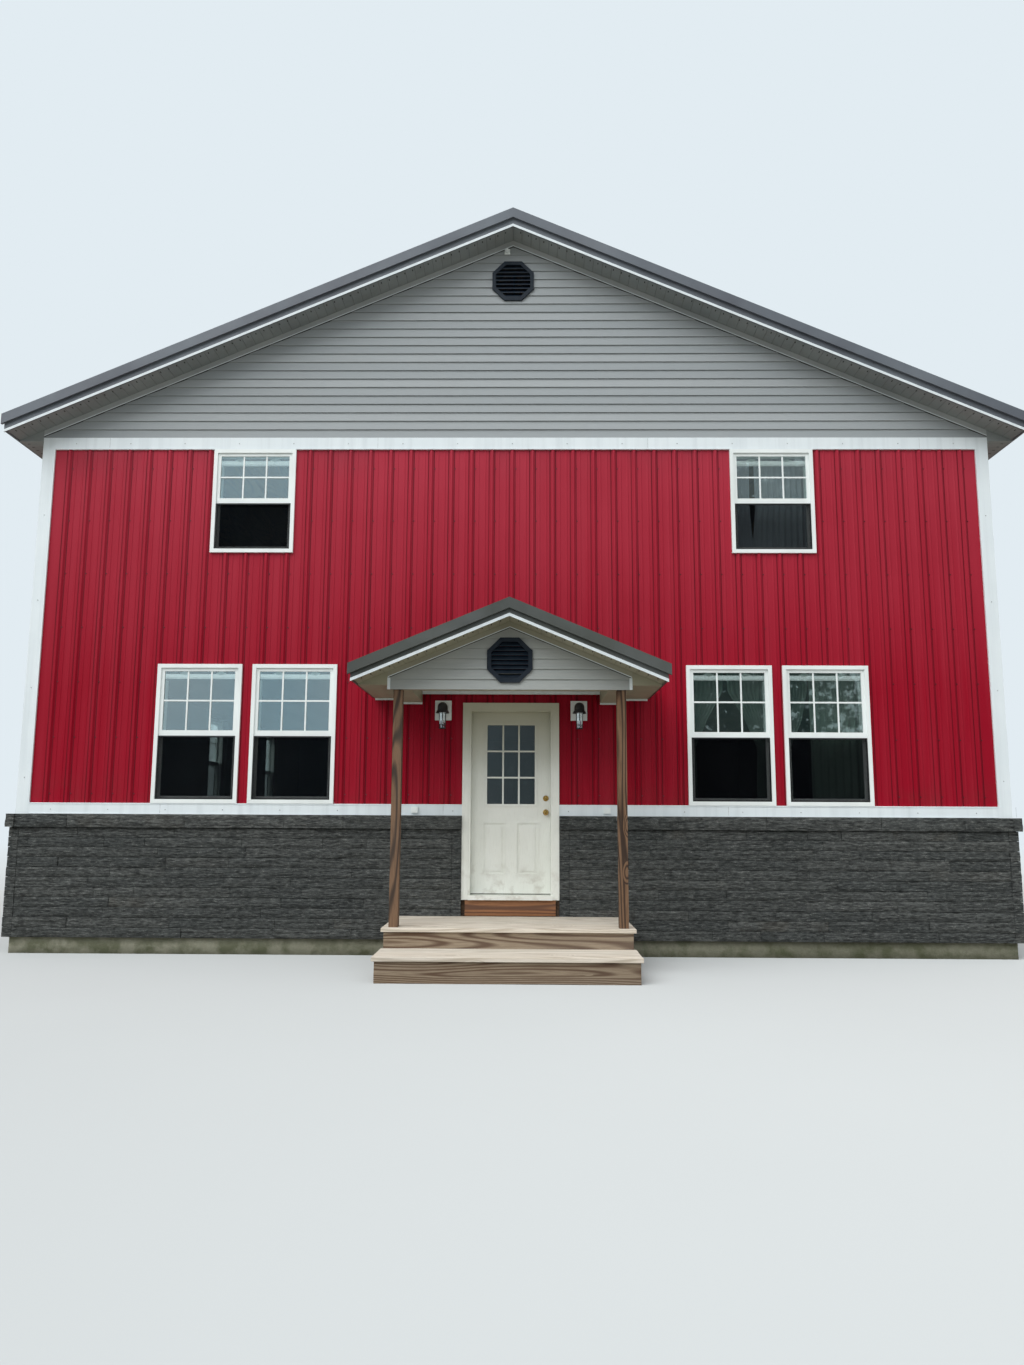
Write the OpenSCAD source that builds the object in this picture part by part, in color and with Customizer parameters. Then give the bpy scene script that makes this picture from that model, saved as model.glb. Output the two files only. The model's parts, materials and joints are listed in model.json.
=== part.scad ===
// Two-storey barn house: ribbed steel walls over a stone base, gable roof and a gabled entrance porch.
// Millimetres, +Z up, the front faces -Y. The origin is the centre of the foundation's underside.

/* [House] */
// Width over the corner trims
house_w = 10670; // [9600:10:12000]
// Depth over the corner trims
house_d = 12190; // [10800:10:13500]
// Thickness of a framed wall without its cladding
wall_t = 165; // [130:1:200]
// Height of the concrete foundation
foundation_h = 400; // [360:5:410]
// Thickness of the ground floor on the foundation
ground_floor_t = 180; // [150:5:200]
// Height of the upper floor's underside over the ground floor windows
floor_over = 104; // [80:2:250]
// Thickness of the upper floor
upper_floor_t = 300; // [200:10:400]

/* [Stone base] */
// Height at which the stone starts above the ground
stone_z = 170; // [100:5:250]
// Thickness of the stone facing
stone_t = 62; // [40:1:80]
// Underside of the stone ledge
ledge_z = 1320; // [1200:5:1400]
// Height of the stone ledge
ledge_h = 140; // [100:5:180]
// How far the ledge stands out from the framed wall
ledge_t = 95; // [82:1:120]

/* [Steel siding and trims] */
// Thickness of the rolled sheet
sheet_t = 3; // [2:0.5:4]
// Distance between two ribs
rib_pitch = 228.6; // [180:0.1:305]
// Height of a rib over the pan
rib_h = 19; // [12:1:25]
// Width of a rib at its foot
rib_foot = 46; // [36:1:60]
// Width of a rib's crest
rib_crest = 16; // [10:1:22]
// Height of the two stiffening beads between ribs
bead_h = 4; // [2:0.5:6]
// Width of a bead at its foot
bead_foot = 24; // [16:1:30]
// Width of a bead's crest
bead_crest = 12; // [6:1:14]
// How far the trims stand out past the ribs
trim_over = 2; // [1:0.5:5]
// Width of a corner trim's legs
corner_w = 140; // [100:5:180]
// Height of the trim on top of the ledge
sill_trim_h = 120; // [90:5:150]
// Underside of the band below the gable
band_z = 5560; // [5200:5:6000]
// Height of the band
band_h = 140; // [100:5:160]

/* [Gables] */
// Exposed height of a clapboard
lap = 101.6; // [75:0.1:150]
// Thickness of a clapboard's lower edge
lap_t = 20; // [12:1:22]
// Thickness of a clapboard where the next one covers it
lap_thin = 6; // [3:1:10]
// Height of the frieze under the main soffit
frieze_h = 70; // [60:5:120]
// Height of the frieze over the band at the framed corners
frieze_up = 30; // [20:1:120]
// Width across the flats of the main gable vent
vent_w = 480; // [380:5:600]
// Distance from the soffit's ridge down to the main vent's centre
vent_down = 510; // [460:5:700]
// Face width of a vent's rim
vent_rim = 42; // [30:1:60]
// How far a vent stands out past the framed wall
vent_proud = 38; // [30:1:50]
// Slats in a vent
vent_slats = 8; // [5:1:12]
// How far the slats lie behind the face of a vent's rim
slat_in = 8; // [4:1:14]
// Plumb thickness of a slat
slat_t = 9; // [6:1:12]
// Rise of a slat from its front edge to its back edge
slat_rise = 37; // [20:1:45]

/* [Main roof] */
// Rise of the roof for each unit of run
roof_slope = 0.435; // [0.35:0.005:0.5]
// Height of the roof deck, measured plumb
deck_t = 155; // [120:5:200]
// Thickness of the soffit panels
soffit_t = 12; // [8:1:20]
// Overhang of the front and back rakes past the framed wall
rake_over = 320; // [250:5:600]
// Overhang of the eaves past the framed wall
eave_over = 300; // [220:5:450]
// Thickness of the fascia boards
fascia_t = 20; // [15:1:30]
// How far the fascia hangs below the soffit
fascia_drop = 12; // [8:1:20]
// How far the roof sheets reach past the eave's fascia
sheet_over = 25; // [15:1:50]
// Width of the open slot between the decks at the ridge
ridge_slot = 24; // [10:1:50]
// Half the width of the ridge cap
ridge_half = 170; // [120:5:250]
// Thickness of the bent metal of caps and rake trims
bent_t = 3; // [2:0.5:4]
// Height of a rake trim's face
rake_face = 115; // [90:5:140]
// How far that face stands out from the fascia
rake_stand = 32; // [15:1:45]
// How far a rake trim's top flange reaches in past the fascia's face
rake_flange = 70; // [40:5:100]
// Height of the white channels' lips on the fascia
channel_h = 30; // [20:1:40]
// Height of the white channels on the wall
wall_channel_h = 20; // [12:1:30]
// Depth of the white channels on the wall
wall_channel_t = 10; // [6:1:15]

/* [Windows] */
// Width of every window
win_w = 930; // [800:5:1000]
// Height of a ground floor window
win_h = 1516; // [1400:4:1600]
// Distance from the middle to the inner front windows
win_in_x = 2372; // [2330:2:2400]
// Distance from the middle to the outer front windows
win_out_x = 3416; // [3414:2:3700]
// Distance from the middle to the upper front windows
win_up_x = 2910; // [2400:5:3600]
// Height of an upper window, which reaches up to the band
win_up_h = 1201; // [1000:1:1300]
// Distance between two windows of a side wall
win_side_pitch = 3500; // [2800:10:4000]
// How far a window frame stands out past the trims
win_proud = 8; // [4:1:20]
// Depth of a window frame
win_depth = 110; // [100:1:130]
// Face width of a window frame
frame_face = 42; // [30:1:60]
// Face width of a sash
sash_face = 36; // [25:1:50]
// Face height of the rails where the two sashes meet
meeting_face = 60; // [40:1:75]
// Depth of a sash
sash_depth = 26; // [20:1:30]
// Distance from the frame's outer face to the outer sash
sash_in = 18; // [12:1:20]
// Gap between the two sashes
sash_gap = 5; // [2:1:10]
// Thickness of the glass
glass_t = 4; // [3:0.5:8]
// Face width of an insect screen's frame
screen_face = 16; // [10:1:25]
// Depth of an insect screen's frame
screen_depth = 8; // [6:1:10]
// Thickness of a screen's mesh
mesh_t = 1; // [0.5:0.1:2]
// Height of a blind's head rail with its slats drawn up
blind_h = 58; // [40:1:90]
// Depth of a blind's head rail
blind_d = 40; // [30:1:55]
// Gap between a window frame and its blind
blind_gap = 2; // [1:0.5:5]

/* [Curtains] */
// Radius of a curtain rod
rod_r = 8; // [5:0.5:12]
// How far a rod reaches past each side of its window
rod_past = 40; // [20:1:50]
// Distance from the inner wall face to a rod
rod_out = 60; // [50:1:90]
// Height of a rod over the head of its window
rod_up = 55; // [40:5:90]
// Thickness of a rod's brackets
bracket_t = 12; // [8:1:16]
// Depth of a gathered curtain
curtain_d = 60; // [40:1:80]
// Gap between the two panels of a curtain
curtain_gap = 24; // [10:2:60]
// Height of the hem over the sill
hem_up = 40; // [20:5:100]
// Width of a panel at its hem
hem_w = 150; // [100:5:250]
// Width of a panel where it is tied back
tie_w = 130; // [80:5:200]
// Height of the ties over the sill, as a share of the window
tie_at = 0.42; // [0.3:0.01:0.5]

/* [Door] */
// Width of the door leaf
leaf_w = 884; // [800:1:900]
// Height of the door leaf
leaf_h = 1962; // [1900:1:2000]
// Thickness of the door leaf
leaf_t = 44; // [35:1:50]
// Gap between the leaf and its frame
leaf_gap = 7; // [6:0.5:10]
// Gap between the leaf and the sill
leaf_rise = 10; // [6:1:15]
// Height of the sill under the door
sill_h = 45; // [30:1:60]
// How far the sill reaches out past the framed wall
sill_out = 62; // [50:1:80]
// Thickness of the jambs
jamb_t = 32; // [25:1:40]
// How far the stops cover the leaf's edges
stop_over = 12; // [8:1:20]
// Face width of the casing
casing_w = 65; // [50:1:90]
// How far the casing leaves the jambs bare
casing_reveal = 6; // [3:1:10]
// How far the casing stands out past the trims
casing_proud = 10; // [5:1:20]
// Width of the raised edge along the outside of the casing
edge_w = 20; // [12:1:30]
// How far that edge stands out from the casing
edge_proud = 6; // [3:1:10]
// Thickness of the board under the sill
kick_t = 25; // [15:1:40]
// Width of the door's glazed opening
lite_w = 520; // [450:5:560]
// Height of the door's glazed opening
lite_h = 860; // [780:5:900]
// Distance from the leaf's top to the glazed opening
lite_top = 150; // [130:5:200]
// Face width of the raised frame round the glass
lite_frame = 26; // [18:1:35]
// How far that frame stands out from the leaf
lite_proud = 9; // [5:1:14]
// Width of one of the two lower panels
panel_w = 220; // [180:5:260]
// Height of the lower panels
panel_h = 532; // [450:2:560]
// Height of the lower panels over the leaf's bottom
panel_up = 212; // [150:2:230]
// Distance between the two lower panels
panel_gap = 140; // [100:5:180]
// Width of the groove round a panel
panel_groove = 26; // [18:1:40]
// Depth of that groove
panel_deep = 8; // [4:1:12]
// Width of the raised moulding round the groove
panel_rim = 16; // [8:1:24]
// How far that moulding stands out from the leaf
rim_proud = 4; // [2:1:8]

/* [Door hardware] */
// Radius of a hinge pin
pin_r = 5; // [4:0.5:6]
// Running clearance round a pin
pin_fit = 0.1; // [0.02:0.02:0.2]
// Radius of a hinge knuckle
knuckle_r = 8; // [7:0.5:10]
// Height of a hinge
hinge_h = 102; // [80:1:120]
// Gap between two knuckles
knuckle_gap = 0.5; // [0.3:0.1:1]
// Thickness of a hinge plate
plate_t = 2.5; // [2:0.1:3]
// Reach of a hinge plate along the leaf's edge
plate_d = 34; // [25:1:40]
// Height of the lowest hinge over the leaf's bottom
hinge_low = 200; // [150:5:250]
// Distance between two hinges
hinge_pitch = 730; // [650:5:780]
// Height of the knob over the leaf's bottom
knob_up = 865; // [820:5:950]
// Height of the deadbolt over the knob
bolt_up = 150; // [120:5:180]
// Distance from the latch edge to the knob's axis
backset = 62; // [55:1:75]
// Radius of the door knob
knob_r = 27; // [20:1:32]
// Reach of the knob from the leaf
knob_l = 65; // [55:1:80]
// Radius of the plate behind the knob
rose_r = 32; // [28:1:36]
// Thickness of that plate at its edge
rose_t = 6; // [3:1:8]
// Radius of the knob's neck
neck_r = 11; // [8:1:14]
// Radius of the deadbolt's cylinder
bolt_r = 31; // [26:1:34]
// Reach of the deadbolt's cylinder from the leaf
bolt_l = 14; // [10:1:20]

/* [Porch] */
// Distance from the middle to the outside of the porch gable
porch_half = 1195; // [1100:5:1230]
// How far the deck and the step reach past the gable on each side
deck_over = 5; // [0:5:80]
// Top of the deck
deck_z = 415; // [412:1:440]
// How far the deck reaches past the posts' front faces
deck_past = 60; // [40:5:150]
// Thickness of the deck boards
board_t = 38; // [25:1:45]
// How far boards reach past the risers
nosing = 25; // [10:1:40]
// Top of the step
step_z = 228; // [180:1:260]
// Distance from the deck's front edge to the step's front edge
step_run = 550; // [300:10:600]
// Distance between two joists
joist_pitch = 406; // [300:1:600]
// Side of a porch post
post_w = 89; // [80:1:110]
// Distance from the outside of the porch gable to a post's axis
post_in = 105; // [50:1:120]
// Distance from the framed wall to the posts' front face
post_d = 1090; // [1000:5:1200]
// Height of the porch beams over the house's floor
beam_up = 2100; // [2098:1:2200]
// Width of a porch side beam
beam_w = 230; // [180:5:260]
// Height of the porch ceiling over the beams' underside
ceiling_up = 120; // [80:5:140]
// Thickness of the porch ceiling
ceiling_t = 15; // [10:1:25]
// Height of the porch soffit over the beams' underside at the gable's corners
porch_heel = 175; // [160:1:250]
// Rise of the porch roof for each unit of run
porch_slope = 0.42; // [0.36:0.005:0.48]
// Height of the porch roof deck, measured plumb
porch_deck_t = 125; // [100:1:140]
// Overhang of the porch rake past the posts
porch_rake_over = 350; // [300:5:450]
// Overhang of the porch eaves past its gable
porch_eave_over = 285; // [250:5:400]
// Height of the porch frieze
porch_frieze_h = 60; // [50:5:100]
// Height of the porch rake trim's face
porch_rake_face = 105; // [80:5:115]
// Width across the flats of the porch vent
porch_vent_w = 445; // [350:5:460]
// Height of the porch vent's centre over the beams' underside
porch_vent_up = 290; // [265:1:300]
// Width of the porch gable's corner trims
porch_corner_w = 28; // [20:1:50]
// Half the width of the porch ridge cap
porch_ridge_half = 130; // [100:5:200]
// Height of the channel between the porch ceiling and the wall
ceiling_channel_h = 30; // [18:1:40]

/* [Lamps and small fittings] */
// Distance from the middle to a lamp
lamp_x = 735; // [700:5:900]
// Height of a lamp's mounting block over the house's floor
block_up = 1904; // [1800:4:1920]
// Width of a mounting block
block_w = 178; // [150:1:200]
// Height of a mounting block
block_h = 212; // [180:1:240]
// Thickness of a mounting block
block_t = 28; // [20:1:40]
// Height of a lamp's back plate and arm over its block's underside
arm_up = 140; // [120:1:150]
// Width of a lamp's arm
arm_w = 18; // [12:1:24]
// Distance from the block to a lamp's axis
lamp_out = 92; // [85:1:110]
// Radius of a lamp's back plate
back_r = 48; // [40:1:60]
// Thickness of that plate
back_t = 14; // [8:1:20]
// Radius of a lamp's hood at its rim
hood_r = 75; // [65:1:82]
// Height of a lamp's hood
hood_h = 118; // [105:1:130]
// Radius of the hood's dome
dome_r = 54; // [50:1:60]
// Wall of a lamp's hood at its foot
hood_t = 3; // [2:0.5:5]
// Radius of a lamp's glass
lamp_glass_r = 46; // [38:1:50]
// Thickness of that glass
lamp_glass_t = 4; // [2:0.5:5]
// How far that glass hangs below its block
lamp_glass_drop = 100; // [80:1:120]
// Distance from the middle to an outlet cover
outlet_x = 1030; // [990:5:1100]
// Width of an outlet cover
outlet_w = 74; // [60:1:90]
// Height of an outlet cover
outlet_h = 64; // [50:1:80]
// Depth of an outlet cover
outlet_t = 24; // [15:1:30]
// Distance from the ridge's middle to the small light under the frieze
eye_x = 68; // [40:1:100]
// Side of the box behind that light
eye_box = 64; // [50:1:70]
// Radius of that light
eye_r = 22; // [15:1:28]
// Reach of that light from its box
eye_l = 30; // [20:1:40]

/* [Hidden] */
$fn = 48;

// Clearance between two pieces that seat on each other
seat = 0.3;
// Reach of a cutting solid past the face that it cuts
past = 60;

// Outermost plane of the ribs and of the trims, measured from the framed wall
rib_face = sheet_t + rib_h;
trim_t = rib_face + trim_over;
// Outer faces of the framed walls
core_x = house_w / 2 - trim_t;
core_y = house_d / 2 - trim_t;
floor_z = foundation_h + ground_floor_t;
ledge_top = ledge_z + ledge_h;
win_z = ledge_top + sill_trim_h;
win_up_z = band_z - win_up_h;
upper_floor_z = win_z + win_h + floor_over;
band_top = band_z + band_h;
plate_z = band_z + band_h / 2;

// Main roof: soffit and underside of the deck at the ridge, and the roof's edges
soffit_z = band_top + frieze_up + frieze_h + roof_slope * core_x;
deck_apex = soffit_z + soffit_t + seat;
eave_x = core_x + eave_over;
rake_y = core_y + rake_over;
eave_soffit_z = deck_apex - roof_slope * eave_x - soffit_t - fascia_drop;
vent_z = soffit_z - vent_down;

// Porch roof: the same, with y measured from the framed front wall
beam_z = floor_z + beam_up;
porch_soffit_z = beam_z + porch_heel + porch_slope * porch_half;
porch_apex = porch_soffit_z + soffit_t + seat;
porch_eave_x = porch_half + porch_eave_over;
porch_rake_y = post_d + porch_rake_over;
porch_eave_z = porch_apex - porch_slope * porch_eave_x - soffit_t - fascia_drop;
header_top = porch_apex - porch_slope * porch_half;
ceiling_z = beam_z + ceiling_up;
porch_vent_z = beam_z + porch_vent_up;
post_x = porch_half - post_in;
deck_w = 2 * (porch_half + deck_over);
deck_d = post_d + deck_past;
step_d = deck_d + step_run;

// Faces against the front wall's ribs, for the porch and the lamps
rib_front = -rib_face - seat;
block_z = floor_z + block_up;

// Windows of each wall as [distance from the wall's middle, sill, height]
front_windows = [for (s = [-1, 1]) each [
  [s * win_in_x, win_z, win_h], [s * win_out_x, win_z, win_h], [s * win_up_x, win_up_z, win_up_h]]];
side_windows = [for (i = [-1 : 1]) each [
  [i * win_side_pitch, win_z, win_h], [i * win_side_pitch, win_up_z, win_up_h]]];
curtain_windows = [for (w = front_windows) if (w[0] > 0) w];

// Door: the leaf's edges, the frame's inner faces and the hinge axis, y inward from the framed wall
leaf_z = floor_z + sill_h + leaf_rise;
leaf_top = leaf_z + leaf_h;
leaf_y = wall_t - leaf_t;
jamb_x = leaf_w / 2 + leaf_gap;
door_x = jamb_x + jamb_t;
head_z = leaf_top + leaf_gap;
door_top = head_z + jamb_t;
casing_x = jamb_x + casing_reveal + casing_w;
casing_top = head_z + casing_reveal + casing_w;
lite_z = leaf_top - lite_top - lite_h;
hinge_x = -leaf_w / 2 - leaf_gap / 2;
hinge_y = wall_t + knuckle_r + 1;
knuckle_h = (hinge_h - 2 * knuckle_gap) / 3;

// Places its children on a wall: x along it, -y outward from the framed face
module on_front() { translate([0, -core_y, 0]) children(); }
module on_back() { rotate([0, 0, 180]) translate([0, -core_y, 0]) children(); }
module on_left() { rotate([0, 0, -90]) translate([0, -core_x, 0]) children(); }
module on_right() { rotate([0, 0, 90]) translate([0, -core_x, 0]) children(); }
module on_both_ends() { on_front() children(); on_back() children(); }
module on_both_sides() { on_left() children(); on_right() children(); }
module pair() { children(); mirror([1, 0, 0]) children(); }

// A block centred on x
module bar(w, y0, y1, z0, z1) { translate([-w / 2, y0, z0]) cube([w, y1 - y0, z1 - z0]); }

// An outline in x and z, drawn out from y0 to y1
module along_y(y0, y1) { translate([0, y1, 0]) rotate([90, 0, 0]) linear_extrude(y1 - y0) children(); }

// A bar of plumb height t that follows both slopes of a roof
module chevron(half, apex, slope, t, y0, y1) {
  low = apex - slope * half;
  along_y(y0, y1)
    polygon([[-half, low], [0, apex], [half, low], [half, low + t], [0, apex + t], [-half, low + t]]);
}

// One sloping slab on the +x side, from x0 to x1
module slope_slab(x0, x1, apex, slope, t, y0, y1) {
  along_y(y0, y1)
    polygon([[x0, apex - slope * x0], [x1, apex - slope * x1],
             [x1, apex - slope * x1 + t], [x0, apex - slope * x0 + t]]);
}

// A gable's outline: half wide, from z0 up to the slopes under apex
module gable_outline(half, z0, apex, slope) {
  polygon([[-half, z0], [half, z0], [half, apex - slope * half], [0, apex], [-half, apex - slope * half]]);
}

// Rolled steel sheet standing on z = 0: high ribs with two low beads in each pan
function swell(x, foot, crest, h) =
  [[x - foot / 2, -sheet_t], [x - crest / 2, -sheet_t - h],
   [x + crest / 2, -sheet_t - h], [x + foot / 2, -sheet_t]];
function sheet_face(w) =
  let (n = floor((w / 2 - rib_foot) / rib_pitch))
  [for (i = [-n : n]) each concat(
    swell(i * rib_pitch, rib_foot, rib_crest, rib_h),
    i == n ? [] : concat(
      swell((i + 1 / 3) * rib_pitch, bead_foot, bead_crest, bead_h),
      swell((i + 2 / 3) * rib_pitch, bead_foot, bead_crest, bead_h)))];
module ribbed_sheet(w, h) {
  linear_extrude(h)
    polygon(concat([[-w / 2, 0], [-w / 2, -sheet_t]], sheet_face(w), [[w / 2, -sheet_t], [w / 2, 0]]));
}

// Clapboards over a width w, from z0 to past z1
module clapboards(w, z0, z1) {
  n = ceil((z1 - z0) / lap);
  translate([-w / 2, 0, 0]) rotate([90, 0, 90]) linear_extrude(w)
    polygon(concat([[0, z0]],
      [for (i = [0 : n - 1]) each [[-lap_t, z0 + i * lap], [-lap_thin, z0 + (i + 1) * lap]]],
      [[0, z0 + n * lap]]));
}

module octagon_prism(w, y0, y1, z) {
  translate([0, y1, z]) rotate([90, 22.5, 0]) cylinder(d = w / cos(22.5), h = y1 - y0, $fn = 8);
}

// Octagonal vent with sloping slats behind its rim
module octagon_vent(w, z) {
  inner = w - 2 * vent_rim;
  slat_pitch = inner / vent_slats;
  slat_y = slat_in - vent_proud;
  difference() {
    octagon_prism(w, -vent_proud, 0, z);
    octagon_prism(inner, -vent_proud - past, past, z);
  }
  intersection() {
    octagon_prism(inner, slat_y, 0, z);
    for (i = [0 : vent_slats - 1])
      translate([-w / 2, 0, z - inner / 2 + i * slat_pitch])
        rotate([90, 0, 90]) linear_extrude(w)
          polygon([[slat_y, 0], [slat_y, slat_t], [0, slat_rise + slat_t], [0, slat_rise]]);
  }
}

// Cuts the windows of a list, d wide past the frame on each side
module window_cuts(list, d) {
  for (w = list)
    translate([w[0] - win_w / 2 - d, -trim_t - past, w[1] - d])
      cube([win_w + 2 * d, wall_t + trim_t + 2 * past, w[2] + 2 * d]);
}

module ring(w, h, face, y0, y1) {
  difference() {
    bar(w, y0, y1, 0, h);
    bar(w - 2 * face, y0 - 1, y1 + 1, face, h - face);
  }
}

// Places of a window's faces: the frame's outer and inner face, and the outer face of both sashes
frame_y = -trim_t - win_proud;
frame_back = frame_y + win_depth;
sash_w = win_w - 2 * frame_face;
outer_sash_y = frame_y + sash_in;
inner_sash_y = outer_sash_y + sash_depth + sash_gap;
function sash_h(h) = (h - 2 * frame_face + meeting_face) / 2;

// Sash with a foot rail and a head rail
module sash(h, y, foot, head) {
  difference() {
    bar(sash_w, y, y + sash_depth, 0, h);
    bar(sash_w - 2 * sash_face, y - 1, y + sash_depth + 1, foot, h - head);
  }
}

// Single-hung window on its sill at z = 0
module window_frame(h) {
  ring(win_w, h, frame_face, frame_y, frame_back);
  translate([0, 0, h - frame_face - sash_h(h)]) sash(sash_h(h), outer_sash_y, meeting_face, sash_face);
  translate([0, 0, frame_face]) sash(sash_h(h), inner_sash_y, sash_face, meeting_face);
}

module window_glass(h) {
  pane_w = sash_w - 2 * sash_face - 2 * seat;
  pane_h = sash_h(h) - sash_face - meeting_face - 2 * seat;
  mid = (sash_depth - glass_t) / 2;
  upper_z = h - frame_face - sash_h(h) + meeting_face;
  for (p = [[outer_sash_y, upper_z], [inner_sash_y, frame_face + sash_face]])
    translate([0, p[0] + mid, p[1] + seat]) bar(pane_w, 0, glass_t, 0, pane_h);
}

// Insect screen from the frame's foot up to the meeting rails
module window_screen(h) {
  w = sash_w - 2 * seat;
  half = sash_h(h) - meeting_face - 2 * seat;
  translate([0, 0, frame_face + seat]) {
    ring(w, half, screen_face, outer_sash_y - screen_depth - seat, outer_sash_y - seat);
    bar(w - screen_face, outer_sash_y - screen_depth / 2 - mesh_t, outer_sash_y - screen_depth / 2,
        screen_face / 2, half - screen_face / 2);
  }
}

// Blind's head rail, hung from the head of the hole in the wall
module window_blind() {
  bar(win_w - 2 * seat, frame_back + blind_gap, frame_back + blind_gap + blind_d, -blind_h, -seat);
}

// Structure
module foundation() { color("gray") bar(2 * core_x, -core_y, core_y, 0, foundation_h); }

module ground_floor() { color("burlywood") bar(2 * core_x, -core_y, core_y, foundation_h, floor_z); }

module upper_floor() {
  inner_y = core_y - wall_t;
  color("burlywood")
    bar(2 * (core_x - wall_t), -inner_y, inner_y, upper_floor_z, upper_floor_z + upper_floor_t);
}

// Part of the front wall between two places along it
module front_wall_part(x0, x1, z0) {
  difference() {
    translate([x0, 0, z0]) cube([x1 - x0, wall_t, plate_z - z0]);
    window_cuts(front_windows, seat);
  }
}

module front_wall_left() { color("tan") on_front() front_wall_part(-core_x, -door_x - seat, floor_z); }

module front_wall_right() { color("tan") on_front() front_wall_part(door_x + seat, core_x, floor_z); }

module front_wall_over_door() {
  color("tan") on_front() front_wall_part(-door_x - seat, door_x + seat, door_top + seat);
}

// Side wall, its top cut to the slope of the roof
module side_wall() {
  half = core_y - wall_t;
  difference() {
    translate([-half, 0, 0]) rotate([90, 0, 90]) linear_extrude(2 * half)
      polygon([[0, floor_z], [wall_t, floor_z], [wall_t, deck_apex - seat - roof_slope * (core_x - wall_t)],
               [0, deck_apex - seat - roof_slope * core_x]]);
    window_cuts(side_windows, seat);
  }
}

module left_wall() { color("tan") on_left() side_wall(); }

module right_wall() { color("tan") on_right() side_wall(); }

module back_wall() { color("tan") on_back() front_wall_part(-core_x, core_x, floor_z); }

module gable_walls() {
  color("tan") {
    on_both_ends() difference() {
      along_y(0, wall_t) gable_outline(core_x, plate_z, deck_apex - seat, roof_slope);
      octagon_prism(vent_w - 2 * vent_rim, -past, wall_t + past, vent_z);
    }
    on_front() difference() {
      along_y(-post_d, -post_d + post_w)
        gable_outline(porch_half, header_top - seat, porch_apex - seat, porch_slope);
      octagon_prism(porch_vent_w - 2 * vent_rim, -post_d - past, -post_d + post_w + past, porch_vent_z);
    }
  }
}

// Ribbed siding between the corner trims, from the sill trim up to top
module siding_run(w, list, top) {
  difference() {
    translate([0, 0, win_z]) ribbed_sheet(w, top - win_z);
    window_cuts(list, seat);
  }
}

module siding_front() {
  color("firebrick") on_front() difference() {
    siding_run(house_w - 2 * corner_w, front_windows, band_z);
    bar(2 * casing_x, -past, past, 0, casing_top);
  }
}

module siding_back() {
  color("firebrick") on_back() siding_run(house_w - 2 * corner_w, front_windows, band_z);
}

module siding_sides() {
  color("firebrick") on_both_sides() siding_run(house_d - 2 * corner_w, side_windows, eave_soffit_z);
}

module gable_siding() {
  color("slategray") {
    on_both_ends() difference() {
      intersection() {
        clapboards(house_w, band_top, soffit_z);
        along_y(-past, past)
          gable_outline(house_w / 2, band_top, soffit_z - frieze_h - seat, roof_slope);
      }
      octagon_prism(vent_w + 2 * seat, -past, past, vent_z);
    }
    on_front() translate([0, -post_d, 0]) difference() {
      intersection() {
        clapboards(2 * (porch_half - porch_corner_w), beam_z, porch_soffit_z);
        along_y(-past, past)
          gable_outline(porch_half - porch_corner_w, beam_z, porch_soffit_z - porch_frieze_h - seat,
                        porch_slope);
      }
      octagon_prism(porch_vent_w + 2 * seat, -past, past, porch_vent_z);
    }
  }
}

module gable_vents() {
  color("midnightblue") {
    on_both_ends() octagon_vent(vent_w, vent_z);
    on_front() translate([0, -post_d, 0]) octagon_vent(porch_vent_w, porch_vent_z);
  }
}

// A course of stone round the house, from z0 to z1, standing t out of the framed walls
module stone_course(t, z0, z1) {
  difference() {
    bar(2 * (core_x + t), -core_y - t, core_y + t, z0, z1);
    bar(2 * core_x, -core_y, core_y, z0 - 1, z1 + 1);
    on_front() bar(2 * casing_x, -t - 1, 1, deck_z, z1 + 1);
  }
}

module stone_wainscot() { color("dimgray") stone_course(stone_t, stone_z, ledge_z); }

module stone_ledge() { color("dimgray") stone_course(ledge_t, ledge_z, ledge_top); }

module sill_trims() {
  color("white") {
    on_front() difference() {
      bar(house_w - 2 * corner_w, -trim_t, 0, ledge_top, win_z);
      bar(2 * casing_x, -trim_t - 1, 1, ledge_top - 1, win_z + 1);
    }
    on_back() bar(house_w - 2 * corner_w, -trim_t, 0, ledge_top, win_z);
    on_both_sides() bar(house_d - 2 * corner_w, -trim_t, 0, ledge_top, win_z);
  }
}

module corner_trims() {
  color("white") for (sx = [0, 1], sy = [0, 1]) mirror([sx, 0, 0]) mirror([0, sy, 0])
    translate([0, 0, ledge_top]) linear_extrude(band_top - ledge_top)
      polygon([[core_x, -core_y], [core_x, corner_w - house_d / 2], [house_w / 2, corner_w - house_d / 2],
               [house_w / 2, -house_d / 2], [house_w / 2 - corner_w, -house_d / 2],
               [house_w / 2 - corner_w, -core_y]]);
}

module band_trims() {
  color("white") on_both_ends() bar(house_w - 2 * corner_w, -trim_t, 0, band_z, band_top);
}

module frieze_trims() {
  color("darkgray") {
    on_both_ends() chevron(house_w / 2, soffit_z - frieze_h, roof_slope, frieze_h - seat, -trim_t, 0);
    on_front() chevron(porch_half, porch_soffit_z - porch_frieze_h, porch_slope, porch_frieze_h - seat,
                       -post_d - trim_t, -post_d);
  }
}

// Main roof
module roof_deck_right() {
  color("saddlebrown")
    slope_slab(ridge_slot / 2, eave_x, deck_apex, roof_slope, deck_t, -rake_y + fascia_t, rake_y - fascia_t);
}

module roof_deck_left() { mirror([1, 0, 0]) roof_deck_right(); }

// Ribbed sheet on a slope, from the eave's edge up to the ridge
module sheet_on_slope(edge_x, apex, t, slope, y0, y1) {
  angle = atan(slope);
  translate([edge_x + seat * sin(angle), (y0 + y1) / 2, apex + t - slope * edge_x + seat * cos(angle)])
    rotate([0, angle - 90, 0]) rotate([0, 0, 90]) ribbed_sheet(y1 - y0, edge_x / cos(angle) - rib_h);
}

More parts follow.
